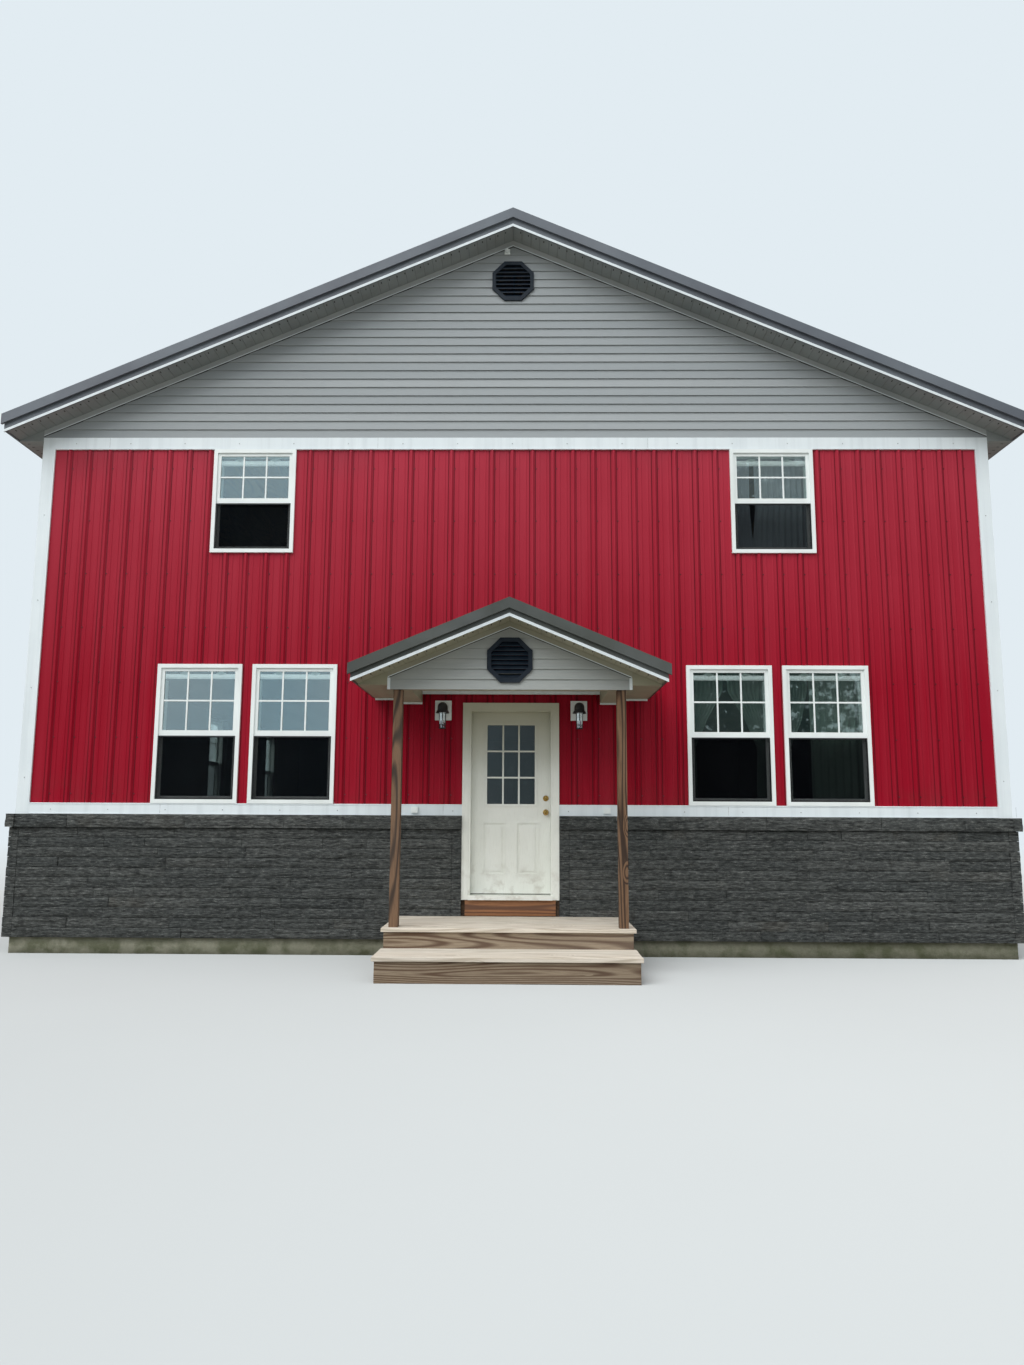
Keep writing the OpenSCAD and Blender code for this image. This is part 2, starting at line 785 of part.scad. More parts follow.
module roof_sheets_right() {
  color("dimgray")
    sheet_on_slope(eave_x + fascia_t + sheet_over, deck_apex, deck_t, roof_slope, -rake_y, rake_y);
}

module roof_sheets_left() { mirror([1, 0, 0]) roof_sheets_right(); }

// Plumb height of the ribs' crests over a deck
function crest_up(slope) = (rib_face + 2 * seat) / cos(atan(slope));

module ridge_caps() {
  color("dimgray") {
    chevron(ridge_half, deck_apex + deck_t + crest_up(roof_slope), roof_slope, bent_t,
            -rake_y + rake_flange + seat, rake_y - rake_flange - seat);
    on_front() chevron(porch_ridge_half, porch_apex + porch_deck_t + crest_up(porch_slope), porch_slope,
                       bent_t, -porch_rake_y + rake_flange + seat, rib_front);
  }
}

// Bent trim over a rake: a plumb face, a top flange over the ribs and a return to the fascia
module rake_trim(half, apex, t, slope, face, y) {
  top = apex + t + crest_up(slope);
  foot = top + bent_t - face;
  front = y - rake_stand;
  chevron(half, foot, slope, face, front, front + bent_t);
  chevron(half, top, slope, bent_t, front, y + rake_flange);
  chevron(half, foot, slope, bent_t, front, y - seat);
}

module rake_trims() {
  edge = eave_x + fascia_t + sheet_over;
  porch_edge = porch_eave_x + fascia_t + sheet_over;
  color("dimgray") {
    for (s = [0, 1]) mirror([0, s, 0]) rake_trim(edge, deck_apex, deck_t, roof_slope, rake_face, -rake_y);
    on_front() rake_trim(porch_edge, porch_apex, porch_deck_t, porch_slope, porch_rake_face, -porch_rake_y);
  }
}

// Fascia boards under a rake, and along both eaves
module rake_fascia(half, apex, t, slope, y) {
  chevron(half, apex - soffit_t - fascia_drop, slope, t + soffit_t + fascia_drop, y, y + fascia_t);
}

module eave_fascia(x, apex, t, slope, y0, y1) {
  low = apex - slope * x - soffit_t - fascia_drop + seat;
  top = apex - slope * (x + fascia_t) + t - seat;
  pair() translate([x, y0, low]) cube([fascia_t, y1 - y0, top - low]);
}

module fascia_boards() {
  color("darkgray") {
    for (s = [0, 1]) mirror([0, s, 0])
      rake_fascia(eave_x + fascia_t, deck_apex, deck_t, roof_slope, -rake_y);
    eave_fascia(eave_x, deck_apex, deck_t, roof_slope, -rake_y + fascia_t, rake_y - fascia_t);
    on_front() {
      rake_fascia(porch_eave_x + fascia_t, porch_apex, porch_deck_t, porch_slope, -porch_rake_y);
      eave_fascia(porch_eave_x, porch_apex, porch_deck_t, porch_slope, -porch_rake_y + fascia_t, rib_front);
    }
  }
}

// Level soffit under an eave, and the board that closes its end under the rake
module eave_soffit(x0, x1, z, y0, y1) { pair() translate([x0, y0, z]) cube([x1 - x0, y1 - y0, soffit_t]); }

module eave_end(x0, x1, z, apex, slope, y0) {
  top = apex - soffit_t - seat;
  pair() along_y(y0, y0 + soffit_t)
    polygon([[x0, z], [x1, z], [x1, top - slope * x1], [x0, top - slope * x0]]);
}

module soffits() {
  end_y = core_y + trim_t;
  color("darkgray") {
    on_both_ends() chevron(eave_x, soffit_z, roof_slope, soffit_t, -rake_over + fascia_t, 0);
    eave_soffit(core_x + trim_t, eave_x, eave_soffit_z, -end_y, end_y);
    for (s = [0, 1]) mirror([0, s, 0])
      eave_end(core_x + trim_t, eave_x, eave_soffit_z, deck_apex, roof_slope, -end_y);
    on_front() {
      chevron(porch_eave_x, porch_soffit_z, porch_slope, soffit_t, -porch_rake_y + fascia_t, -post_d);
      eave_soffit(porch_half, porch_eave_x, porch_eave_z, -post_d - trim_t, rib_front);
      eave_end(porch_half, porch_eave_x, porch_eave_z, porch_apex, porch_slope, -post_d - trim_t);
    }
  }
}

// White channels that hold the soffits' outer edges
module rake_channel(half, apex, slope, y) {
  chevron(half, apex - fascia_drop - bent_t, slope, channel_h, y - bent_t, y);
}

// White channel on the front wall from x0 to x1, under what ends there at z
module wall_channel(x0, x1, z) {
  translate([x0, rib_front - wall_channel_t, z - wall_channel_h - seat])
    cube([x1 - x0, wall_channel_t, wall_channel_h]);
}

module soffit_channels() {
  color("white") {
    for (s = [0, 1]) mirror([0, s, 0]) rake_channel(eave_x + fascia_t, soffit_z, roof_slope, -rake_y);
    on_front() {
      rake_channel(porch_eave_x + fascia_t, porch_soffit_z, porch_slope, -porch_rake_y);
      pair() {
        wall_channel(porch_half - beam_w, porch_half - seat, beam_z);
        wall_channel(porch_half, porch_eave_x, porch_eave_z);
      }
    }
  }
}

// Windows
module window_frames(list) { for (w = list) translate([w[0], 0, w[1]]) window_frame(w[2]); }

module window_frames_front() { color("white") on_front() window_frames(front_windows); }

module window_frames_back() { color("white") on_back() window_frames(front_windows); }

module window_frames_sides() { color("white") on_both_sides() window_frames(side_windows); }

// Places its children at the windows of all four walls whose sill is at z
module all_windows(z) {
  on_both_ends() for (w = front_windows) if (w[1] == z) translate([w[0], 0, z]) children();
  on_both_sides() for (w = side_windows) if (w[1] == z) translate([w[0], 0, z]) children();
}

module window_glass_ground() { color("lightblue", 0.4) all_windows(win_z) window_glass(win_h); }

module window_glass_upper() { color("lightblue", 0.4) all_windows(win_up_z) window_glass(win_up_h); }

module window_screens() {
  color("dimgray") {
    all_windows(win_z) window_screen(win_h);
    all_windows(win_up_z) window_screen(win_up_h);
  }
}

module window_blinds() {
  color("whitesmoke") on_front() for (w = front_windows) translate([w[0], 0, w[1] + w[2]]) window_blind();
}

// Rod on two brackets over a window
module curtain_rods() {
  rod_l = win_w + 2 * rod_past;
  color("black") on_front() for (w = curtain_windows)
    translate([w[0], wall_t, w[1] + w[2] + rod_up]) {
      translate([-rod_l / 2, rod_out, 0]) rotate([0, 90, 0]) cylinder(r = rod_r, h = rod_l);
      pair() translate([win_w / 2 - 2 * bracket_t, 0, 0]) {
        bar(bracket_t, 0, rod_out, -bracket_t / 2, bracket_t / 2);
        bar(3 * bracket_t, 0, bracket_t / 2, -2.5 * bracket_t, 2.5 * bracket_t);
      }
    }
}

// Two gathered panels, tied back at the sides
module curtain_outline(h) {
  top = h + rod_up - rod_r - seat;
  tie = h * tie_at;
  side = win_w / 2;
  pair() polygon([[curtain_gap / 2, top], [side, top], [side, hem_up], [side - hem_w, hem_up],
                  [side - tie_w, tie], [side - 2 * tie_w, tie + h / 5], [curtain_gap, top - h / 5]]);
}

module curtains() {
  color("gainsboro") on_front() for (w = curtain_windows) translate([w[0], wall_t + rod_out, w[1]])
    along_y(-curtain_d / 2, curtain_d / 2) curtain_outline(w[2]);
}

// Door
module door_frame() {
  stop_y = leaf_y - leaf_gap;
  casing_y = -trim_t - casing_proud;
  color("white") on_front() {
    pair() {
      translate([jamb_x, -trim_t, floor_z]) cube([jamb_t, wall_t + trim_t, door_top - floor_z]);
      translate([leaf_w / 2 - stop_over, -trim_t, floor_z + sill_h])
        cube([jamb_x - leaf_w / 2 + stop_over, trim_t + stop_y, head_z - floor_z - sill_h]);
      translate([jamb_x + casing_reveal, casing_y, floor_z])
        cube([casing_w, -casing_y, head_z + casing_reveal - floor_z]);
      translate([casing_x - edge_w, casing_y - edge_proud, floor_z])
        cube([edge_w, edge_proud, casing_top - floor_z]);
    }
    bar(2 * door_x, -trim_t, wall_t, head_z, door_top);
    bar(2 * jamb_x, -trim_t, stop_y, leaf_top - stop_over, head_z);
    bar(2 * casing_x, casing_y, 0, head_z + casing_reveal, casing_top);
    bar(2 * casing_x, casing_y - edge_proud, casing_y, casing_top - edge_w, casing_top);
    bar(2 * jamb_x, -sill_out, wall_t, floor_z, floor_z + sill_h);
  }
}

// Raised frame round the door's glass on one face of the leaf
module lite_ring(y0) {
  translate([0, 0, lite_z - lite_frame])
    ring(lite_w + 2 * lite_frame, lite_h + 2 * lite_frame, lite_frame, y0, y0 + lite_proud);
}

// Places its children at the foot of both lower panels
module at_panels() {
  for (s = [-1, 1]) translate([s * (panel_w + panel_gap) / 2, 0, leaf_z + panel_up]) children();
}

// Raised moulding round a lower panel on one face of the leaf
module panel_moulding(y0) {
  translate([0, 0, -panel_rim])
    ring(panel_w + 2 * panel_rim, panel_h + 2 * panel_rim, panel_rim, y0, y0 + rim_proud);
}

module door_leaf() {
  color("white") on_front() {
    difference() {
      bar(leaf_w, leaf_y, wall_t, leaf_z, leaf_top);
      bar(lite_w, leaf_y - past, wall_t + past, lite_z, lite_z + lite_h);
      at_panels() for (y = [leaf_y - 1, wall_t - panel_deep])
        ring(panel_w, panel_h, panel_groove, y, y + panel_deep + 1);
    }
    at_panels() {
      panel_moulding(leaf_y - rim_proud);
      panel_moulding(wall_t);
    }
    lite_ring(leaf_y - lite_proud);
    lite_ring(wall_t);
    for (i = [0 : 2]) translate([0, 0, leaf_z + hinge_low + i * hinge_pitch]) hinge_leaf_side();
  }
}

module door_glass() {
  mid = leaf_y + leaf_t / 2;
  color("lightblue", 0.4) on_front()
    bar(lite_w - 2 * seat, mid - glass_t, mid + glass_t, lite_z + seat, lite_z + lite_h - seat);
}

// Knuckle from z0 to z1 round the hinge axis, bored for the pin
module knuckle(z0, z1) {
  difference() {
    translate([hinge_x, hinge_y, z0]) cylinder(r = knuckle_r, h = z1 - z0);
    translate([hinge_x, hinge_y, z0 - 1]) cylinder(r = pin_r + pin_fit, h = z1 - z0 + 2);
  }
}

// Reach of a hinge plate up to its knuckle, past which it would enter the pin's bore
plate_reach = hinge_y - pin_r - pin_fit - 1 - wall_t + plate_d;

// Middle knuckle on its plate along the leaf's edge
module hinge_leaf_side() {
  knuckle(knuckle_h + knuckle_gap, 2 * knuckle_h + knuckle_gap);
  translate([-leaf_w / 2 - plate_t, wall_t - plate_d, knuckle_h + knuckle_gap])
    cube([plate_t, plate_reach, knuckle_h]);
}

// Outer knuckles on a jamb plate, with the headed pin through all three
module hinge_frame_side() {
  head = 4;
  for (z = [0, 2 * (knuckle_h + knuckle_gap)]) {
    knuckle(z, z + knuckle_h);
    translate([-jamb_x, wall_t - plate_d, z]) cube([plate_t, plate_reach, knuckle_h]);
  }
  translate([-jamb_x, wall_t - plate_d, 0]) cube([plate_t, plate_d - plate_t, hinge_h]);
  translate([hinge_x, hinge_y, -head / 2]) cylinder(r = pin_r, h = hinge_h + head);
  for (z = [-head, hinge_h]) translate([hinge_x, hinge_y, z]) cylinder(r = knuckle_r - 1, h = head);
}

module door_hinges() {
  color("goldenrod") on_front() for (i = [0 : 2])
    translate([0, 0, leaf_z + hinge_low + i * hinge_pitch]) hinge_frame_side();
}

// Knob on both faces, turned about its axis
module knob_side() {
  rotate([90, 0, 0]) rotate_extrude()
    polygon([[0, 0], [rose_r, 0], [rose_r, rose_t], [rose_r - rose_t, 1.5 * rose_t], [neck_r, 2 * rose_t],
             [neck_r, knob_l - 35], [knob_r - 6, knob_l - 31], [knob_r, knob_l - 21],
             [knob_r - 2, knob_l - 9], [knob_r - 9, knob_l - 2], [0, knob_l]]);
}

module deadbolt_side() {
  rotate([90, 0, 0]) rotate_extrude()
    polygon([[0, 0], [bolt_r, 0], [bolt_r, bolt_l / 2], [bolt_r - bolt_l / 2, bolt_l], [0, bolt_l]]);
}

module door_knobs() {
  color("goldenrod") on_front() translate([leaf_w / 2 - backset, 0, leaf_z + knob_up]) {
    translate([0, leaf_y - seat, 0]) knob_side();
    translate([0, wall_t + seat, 0]) rotate([0, 0, 180]) knob_side();
    translate([0, leaf_y - seat, bolt_up]) deadbolt_side();
    translate([0, wall_t + seat, bolt_up]) rotate([0, 0, 180]) deadbolt_side();
  }
}

module kick_board() { color("peru") on_front() bar(2 * door_x, -kick_t, 0, deck_z + seat, floor_z - seat); }

// Porch
// Boards on a frame of joists, from y0 out to the riser's face at y1, with their top at z
module board_box(w, y0, y1, z) {
  inner = w - 2 * nosing;
  top = z - board_t - seat;
  bar(w, y1 - nosing, y0, z - board_t, z);
  bar(inner, y1, y1 + board_t, 0, top);
  pair() translate([(inner - board_t) / 2, 0, 0]) bar(board_t, y1 + board_t + seat, y0, 0, top);
  n = floor((inner / 2 - 2 * board_t) / joist_pitch);
  for (i = [-n : n]) translate([i * joist_pitch, 0, 0]) bar(board_t, y1 + board_t + seat, y0, 0, top);
}

module porch_deck() {
  color("rosybrown") on_front() board_box(deck_w, -stone_t - seat, -deck_d + nosing, deck_z);
}

module porch_step() {
  color("rosybrown") on_front() board_box(deck_w, -deck_d + nosing - seat, -step_d + nosing, step_z);
}

module porch_posts() {
  color("peru") on_front() pair()
    translate([post_x - post_w / 2, -post_d, deck_z]) cube([post_w, post_w, beam_z - deck_z]);
}

module porch_beams() {
  top = header_top - seat;
  color("darkgray") on_front() {
    bar(2 * porch_half, -post_d, -post_d + post_w, beam_z, top);
    pair() translate([porch_half - beam_w / 2, 0, 0])
      bar(beam_w, -post_d + post_w + seat, rib_front, beam_z, top);
  }
}

module porch_ceiling() {
  color("whitesmoke") on_front()
    bar(2 * (porch_half - beam_w), -post_d + post_w, rib_front, ceiling_z, ceiling_z + ceiling_t);
}

module porch_roof_decks() {
  color("saddlebrown") on_front() pair()
    slope_slab(ridge_slot / 2, porch_eave_x, porch_apex, porch_slope, porch_deck_t,
               -porch_rake_y + fascia_t, rib_front);
}

module porch_roof_sheets() {
  color("dimgray") on_front() pair()
    sheet_on_slope(porch_eave_x + fascia_t + sheet_over, porch_apex, porch_deck_t, porch_slope,
                   -porch_rake_y, rib_front);
}

// White corner trims of the porch gable and the channel where the ceiling meets the wall
module porch_trims() {
  corner_top = porch_soffit_z - porch_frieze_h - porch_slope * porch_half;
  color("white") on_front() {
    pair() translate([porch_half - porch_corner_w / 2, 0, 0])
      bar(porch_corner_w, -post_d - trim_t, -post_d, beam_z, corner_top);
    bar(2 * (porch_half - beam_w), rib_front - wall_channel_t, rib_front,
        ceiling_z - ceiling_channel_h, ceiling_z - seat);
  }
}

// Lamps and small fittings
// Small light on the clapboards under the frieze, beside the ridge's middle
module eye_light() {
  frieze_foot = soffit_z - frieze_h - roof_slope * (eye_x + eye_box / 2);
  translate([-eye_x, -lap_t - seat, frieze_foot - eye_box - seat]) {
    bar(eye_box, -eye_box / 4, 0, 0, eye_box);
    translate([0, -eye_box / 4, eye_box / 2]) rotate([90, 0, 0]) cylinder(r = eye_r, h = eye_l);
  }
}

module lamp_blocks() {
  color("white") on_front() {
    pair() {
      translate([lamp_x, rib_front, block_z]) bar(block_w, -block_t, 0, 0, block_h);
      translate([outlet_x, -trim_t, ledge_top + (sill_trim_h - outlet_h) / 2])
        bar(outlet_w, -outlet_t, 0, 0, outlet_h);
    }
    eye_light();
  }
}

// Outline of half a hood: a dome over a short neck that flares out to the rim
module hood_outline() {
  dome_z = hood_h - dome_r;
  inner_r = dome_r - hood_t;
  outer = [for (a = [90 : -15 : 0]) [dome_r * cos(a), dome_z + dome_r * sin(a)]];
  inner = [for (a = [0 : 15 : 90]) [inner_r * cos(a), dome_z + inner_r * sin(a)]];
  rim = [[dome_r, dome_z / 2], [hood_r, 0], [hood_r - hood_t, 0], [inner_r, dome_z / 2]];
  polygon(concat(outer, rim, inner));
}

// Hooded lantern: back plate, arm and turned hood
module wall_lamp() {
  translate([0, 0, arm_up]) rotate([90, 0, 0]) cylinder(r = back_r, h = back_t);
  translate([0, 0, arm_up + arm_w]) bar(arm_w, -lamp_out, 0, 0, back_t);
  translate([0, -lamp_out, arm_up + arm_w + 2 * back_t - hood_h]) rotate_extrude() hood_outline();
}

module wall_lamps() {
  color("black") on_front() pair() translate([lamp_x, rib_front - block_t, block_z]) wall_lamp();
}

// Flared glass that hangs under the lantern's arm
module lamp_glass() {
  top = arm_up + arm_w - seat;
  outer = lamp_glass_r - lamp_glass_t;
  foot = outer - 2 * lamp_glass_t;
  color("white", 0.5) on_front() pair() translate([lamp_x, rib_front - block_t - lamp_out, block_z])
    rotate_extrude()
      polygon([[foot - lamp_glass_t, -lamp_glass_drop], [foot, -lamp_glass_drop], [outer, top],
               [outer - lamp_glass_t, top]]);
}

foundation();
ground_floor();
upper_floor();
front_wall_left();
front_wall_right();
front_wall_over_door();
left_wall();
right_wall();
back_wall();
gable_walls();
siding_front();
siding_back();
siding_sides();
gable_siding();
gable_vents();
stone_wainscot();
stone_ledge();
sill_trims();
corner_trims();
band_trims();
frieze_trims();
roof_deck_left();
roof_deck_right();
roof_sheets_left();
roof_sheets_right();
ridge_caps();
rake_trims();
fascia_boards();
soffits();
soffit_channels();
window_frames_front();
window_frames_back();
window_frames_sides();
window_glass_ground();
window_glass_upper();
window_screens();
window_blinds();
curtain_rods();
curtains();
door_frame();
door_leaf();
door_glass();
door_knobs();
door_hinges();
kick_board();
porch_deck();
porch_step();
porch_posts();
porch_beams();
porch_ceiling();
porch_roof_decks();
porch_roof_sheets();
porch_trims();
lamp_blocks();
wall_lamps();
lamp_glass();
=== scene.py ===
import json
import math
import random
from functools import lru_cache

import bpy
import numpy as np
from mathutils import Matrix, Vector, noise


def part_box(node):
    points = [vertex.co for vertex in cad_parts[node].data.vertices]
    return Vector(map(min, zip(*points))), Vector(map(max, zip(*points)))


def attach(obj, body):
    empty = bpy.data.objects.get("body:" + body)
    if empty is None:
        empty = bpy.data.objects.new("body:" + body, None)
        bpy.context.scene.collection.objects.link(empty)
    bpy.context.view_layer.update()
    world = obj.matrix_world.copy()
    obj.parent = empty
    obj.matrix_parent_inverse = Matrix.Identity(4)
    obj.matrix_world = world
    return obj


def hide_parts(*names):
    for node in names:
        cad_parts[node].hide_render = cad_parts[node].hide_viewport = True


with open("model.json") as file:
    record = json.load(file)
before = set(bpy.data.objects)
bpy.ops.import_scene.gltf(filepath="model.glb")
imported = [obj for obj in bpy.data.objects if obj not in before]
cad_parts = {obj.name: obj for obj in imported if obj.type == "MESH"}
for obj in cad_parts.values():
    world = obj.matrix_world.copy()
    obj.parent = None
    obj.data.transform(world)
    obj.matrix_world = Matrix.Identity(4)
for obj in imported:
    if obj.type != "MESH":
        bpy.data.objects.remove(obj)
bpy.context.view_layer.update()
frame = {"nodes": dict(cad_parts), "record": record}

# Half width and half depth over the framed walls. Distances out are measured from their faces.
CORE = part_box("foundation")[1]

# Stone facing and the ledge on it
FACING_FOOT, FACING_TOP = (corner.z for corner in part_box("stone_wainscot"))
LEDGE_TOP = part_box("stone_ledge")[1].z
LEDGE_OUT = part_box("stone_ledge")[1].x - CORE.x
JOINT_OUT = 0.044  # face of the dark joints behind the stones
STONE_OUT = 0.060  # mean face of the stones
STONE_COURSES = 11
STONE_JOINT = 0.004
CORNER_STONE_W = 0.104
STONE_LENGTHS, LEDGE_LENGTHS = (0.35, 1.10), (0.50, 1.30)
STONE_CELL, LEDGE_CELL = (0.058, 0.027, 1.0), (0.050, 0.028, 0.050)  # cells of a stone's mesh
LAYER_NOISE, CHIP_NOISE = (2.5, 26, 3), (13, 17, 9)  # how fast a stone's face changes along u, z and out

# Siding and trims
RIB_PITCH = 0.2286
RIB_FOOT_HALF = 0.032
SHEET_T = 0.003
TRIM_OUT = 0.024
TRIM_LENGTH = 3.05
CORNER_TRIM_W = 0.140
SIDING_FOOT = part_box("sill_trims")[1].z
SIDING_TOP, BAND_TOP = (corner.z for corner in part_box("band_trims"))
SCREW_PITCH = 0.61
SCREW_ROWS = 7
SCREW_SIDES = 6

# Windows, as (distance from the middle of their wall, sill, height)
WINDOW_W = 0.930
GROUND, UPPER = (SIDING_FOOT, 1.516), (SIDING_TOP - 1.201, 1.201)
FRONT_WINDOWS = [(side * u, *storey) for side in (-1, 1)
                 for u, storey in ((2.372, GROUND), (3.416, GROUND), (2.910, UPPER))]
SIDE_WINDOWS = [(u, *storey) for u in (-3.5, 0.0, 3.5) for storey in (GROUND, UPPER)]
FRAME_FACE, SASH_FACE, MEETING_FACE = 0.042, 0.036, 0.060
GLASS_OUT = 0.003  # outer face of the upper sash's glass
BAR_W, BAR_T = 0.018, 0.006
HAIR = 0.0005  # keeps faces apart that would else lie in one plane

# Screens: how far out their frames reach, and how wide they are
SCREEN_OUT, SCREEN_FACE = (0.0143, 0.0223), 0.016
SCREEN_GAP = 0.0003

# Blinds: a head rail, and under it slats and a foot rail between two depths
BLIND_H = 0.058
BLIND_SLATS = 8
SLAT_PITCH, SLAT_T, FOOT_RAIL_H = 0.0042, 0.0030, 0.018
BLIND_OUT = (-0.108, -0.084)
CLIP_X = 0.20

# Porch and door
CASING_HALF = 0.52
DOOR_CLEAR = 0.60
DECK_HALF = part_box("porch_deck")[1].x
BOARD_T = 0.038
BOARD_GAP = 0.005
NOSING = 0.025
POST_FACE = 1.090 + TRIM_OUT
LAMP_X = 0.735

# Roofs: rise for each metre across, and the planes of their decks and soffits at the ridge
ROOF_SLOPE, PORCH_SLOPE = 0.435, 0.42
ROOF_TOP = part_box("fascia_boards")[1].z
ROOF_SOFFIT = ROOF_TOP - 0.167
PORCH_SOFFIT, PORCH_TOP = 3.357, 3.494
PORCH_EAVE_X = 1.48
FASCIA_T = 0.02
FRIEZE_H, PORCH_FRIEZE_H = 0.070, 0.060


def srgb(red, green, blue):
    """A colour given as 0 to 255 as it looks on screen, in linear light."""
    shares = (value / 255 for value in (red, green, blue))
    return (*(s / 12.92 if s <= 0.04045 else ((s + 0.055) / 1.055) ** 2.4 for s in shares), 1.0)


def placed(name, data):
    """A new object, linked to the scene."""
    thing = bpy.data.objects.new(name, data)
    bpy.context.scene.collection.objects.link(thing)
    return thing


class Plane:
    """A plane to build on: its points are given as steps to the right, steps up and steps out from it."""

    def __init__(self, right, up, out, origin):
        self.axes, self.origin = np.array([right, up, out], float), np.array(origin, float)

    def place(self, points):
        return np.asarray(points, float) @ self.axes + self.origin


class Wall(Plane):
    """One side of the house as seen from outside: u runs to the right, z up, and out towards the viewer."""

    def __init__(self, name, right, out, face, half, windows):
        super().__init__(right, (0, 0, 1), out, np.array(out, float) * face)
        self.name, self.half, self.windows = name, half, windows


FRONT = Wall("front", (1, 0, 0), (0, -1, 0), CORE.y, CORE.x, FRONT_WINDOWS)
BACK = Wall("back", (-1, 0, 0), (0, 1, 0), CORE.y, CORE.x, FRONT_WINDOWS)
LEFT = Wall("left", (0, -1, 0), (-1, 0, 0), CORE.x, CORE.y, SIDE_WINDOWS)
RIGHT = Wall("right", (0, 1, 0), (1, 0, 0), CORE.x, CORE.y, SIDE_WINDOWS)
GABLED, SIDES = (FRONT, BACK), (LEFT, RIGHT)
WALLS = GABLED + SIDES


def every_window():
    """All windows, as (wall, distance from its middle, sill, height)."""
    return [(wall, *window) for wall in WALLS for window in wall.windows]


def sash_height(height):
    return (height - 2 * FRAME_FACE + MEETING_FACE) / 2


def beside_door(wall, reach, gap=CASING_HALF):
    """Stretches of a wall up to a reach from its middle, which leave out the door on the front."""
    return [(-reach, -gap), (gap, reach)] if wall is FRONT else [(-reach, reach)]


def front_out(y):
    """How far out from the framed front wall a depth lies."""
    return -y - CORE.y


def roof_plane(side, slope, ridge_z, out_sign=1):
    """A roof's plane on one side of the ridge: right runs back along the ridge, up runs up the slope."""
    length = math.hypot(1, slope)
    out = (side * slope / length, 0, 1 / length)
    return Plane((0, 1, 0), (-side / length, 0, slope / length), [out_sign * v for v in out], (0, 0, ridge_z))


@lru_cache(None)
def block_cells(counts):
    """Surface points of a box divided into cells, as steps along each axis, and the faces between them."""
    numbers, faces = {}, []
    for axis in range(3):
        across, along = (axis + 1) % 3, (axis + 2) % 3
        for side in (0, counts[axis]):
            for i in range(counts[across]):
                for j in range(counts[along]):
                    face = []
                    for a, b in ((i, j), (i + 1, j), (i + 1, j + 1), (i, j + 1)):
                        step = [0, 0, 0]
                        step[axis], step[across], step[along] = side, a, b
                        face.append(numbers.setdefault(tuple(step), len(numbers)))
                    faces.append(face if side else face[::-1])
    return np.array(list(numbers), float), faces


def ring_faces(rings, sides, closed=False):
    """Faces between rings of points that run round an axis. When closed, the last ring joins the first."""
    pairs = [(r * sides, (r + 1) % rings * sides) for r in range(rings if closed else rings - 1)]
    return [[a + i, a + (i + 1) % sides, b + (i + 1) % sides, b + i] for a, b in pairs for i in range(sides)]


class Pieces:
    """Like pieces, collected and made into one object, each with a tone that its material reads."""

    def __init__(self):
        self.points, self.faces, self.tones = [], [], []

    def add(self, points, faces, tone=0.5):
        first = len(self.tones)
        self.faces += [[first + i for i in face] for face in faces]
        self.points.append(np.asarray(points, float))
        self.tones += [tone] * len(points)

    def box(self, wall, low, high, tone=0.5):
        """A box between two corners, each given as (u, z, out)."""
        steps, faces = block_cells((1, 1, 1))
        self.add(wall.place(np.array(low) + steps * (np.array(high) - low)), faces, tone)

    def bar(self, wall, start, end, height, low_out, high_out):
        """A straight bar from one (u, z) spot to another, with a plumb height and its reach out."""
        steps, faces = block_cells((1, 1, 1))
        (u0, z0), (u1, z1) = start, end
        points = [(u0 + (u1 - u0) * s, z0 + (z1 - z0) * s + height * t, low_out + (high_out - low_out) * r)
                  for s, t, r in steps]
        self.add(wall.place(points), faces)

    def screws(self, wall, spots, face, washer, head):
        """A screw at each (u, z) spot of a face. Washer and head are (radius, height over the face)."""
        turn = np.arange(SCREW_SIDES) * 2 * math.pi / SCREW_SIDES
        ring = np.stack([np.cos(turn), np.sin(turn)], 1)
        profile = [(washer[0], face), (washer[0] - 0.001, face + washer[1]), (head[0], face + washer[1]),
                   (head[0] - 0.0005, face + head[1])]
        count = len(profile) * SCREW_SIDES
        faces = ring_faces(len(profile), SCREW_SIDES)
        faces += [list(range(SCREW_SIDES))[::-1], list(range(count - SCREW_SIDES, count))]
        for u, z in spots:
            rings = [np.column_stack([ring * r + (u, z), np.full(SCREW_SIDES, out)]) for r, out in profile]
            self.add(wall.place(np.concatenate(rings)), faces)

    def make(self, name, finish, slot, body="root", replaces=(), bevel=0.0, smooth=False):
        mesh = bpy.data.meshes.new(name)
        mesh.from_pydata(np.concatenate(self.points).tolist(), [], self.faces)
        mesh.attributes.new("tone", "FLOAT", "POINT").data.foreach_set("value", self.tones)
        mesh.polygons.foreach_set("use_smooth", [smooth] * len(mesh.polygons))
        mesh.materials.append(FINISHES[finish])
        piece = placed(name, mesh)
        if bevel:
            modifier = piece.modifiers.new("Edges", "BEVEL")
            modifier.width, modifier.segments = bevel, 2
        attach(piece, body)
        if replaces:
            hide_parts(*replaces)
        return piece


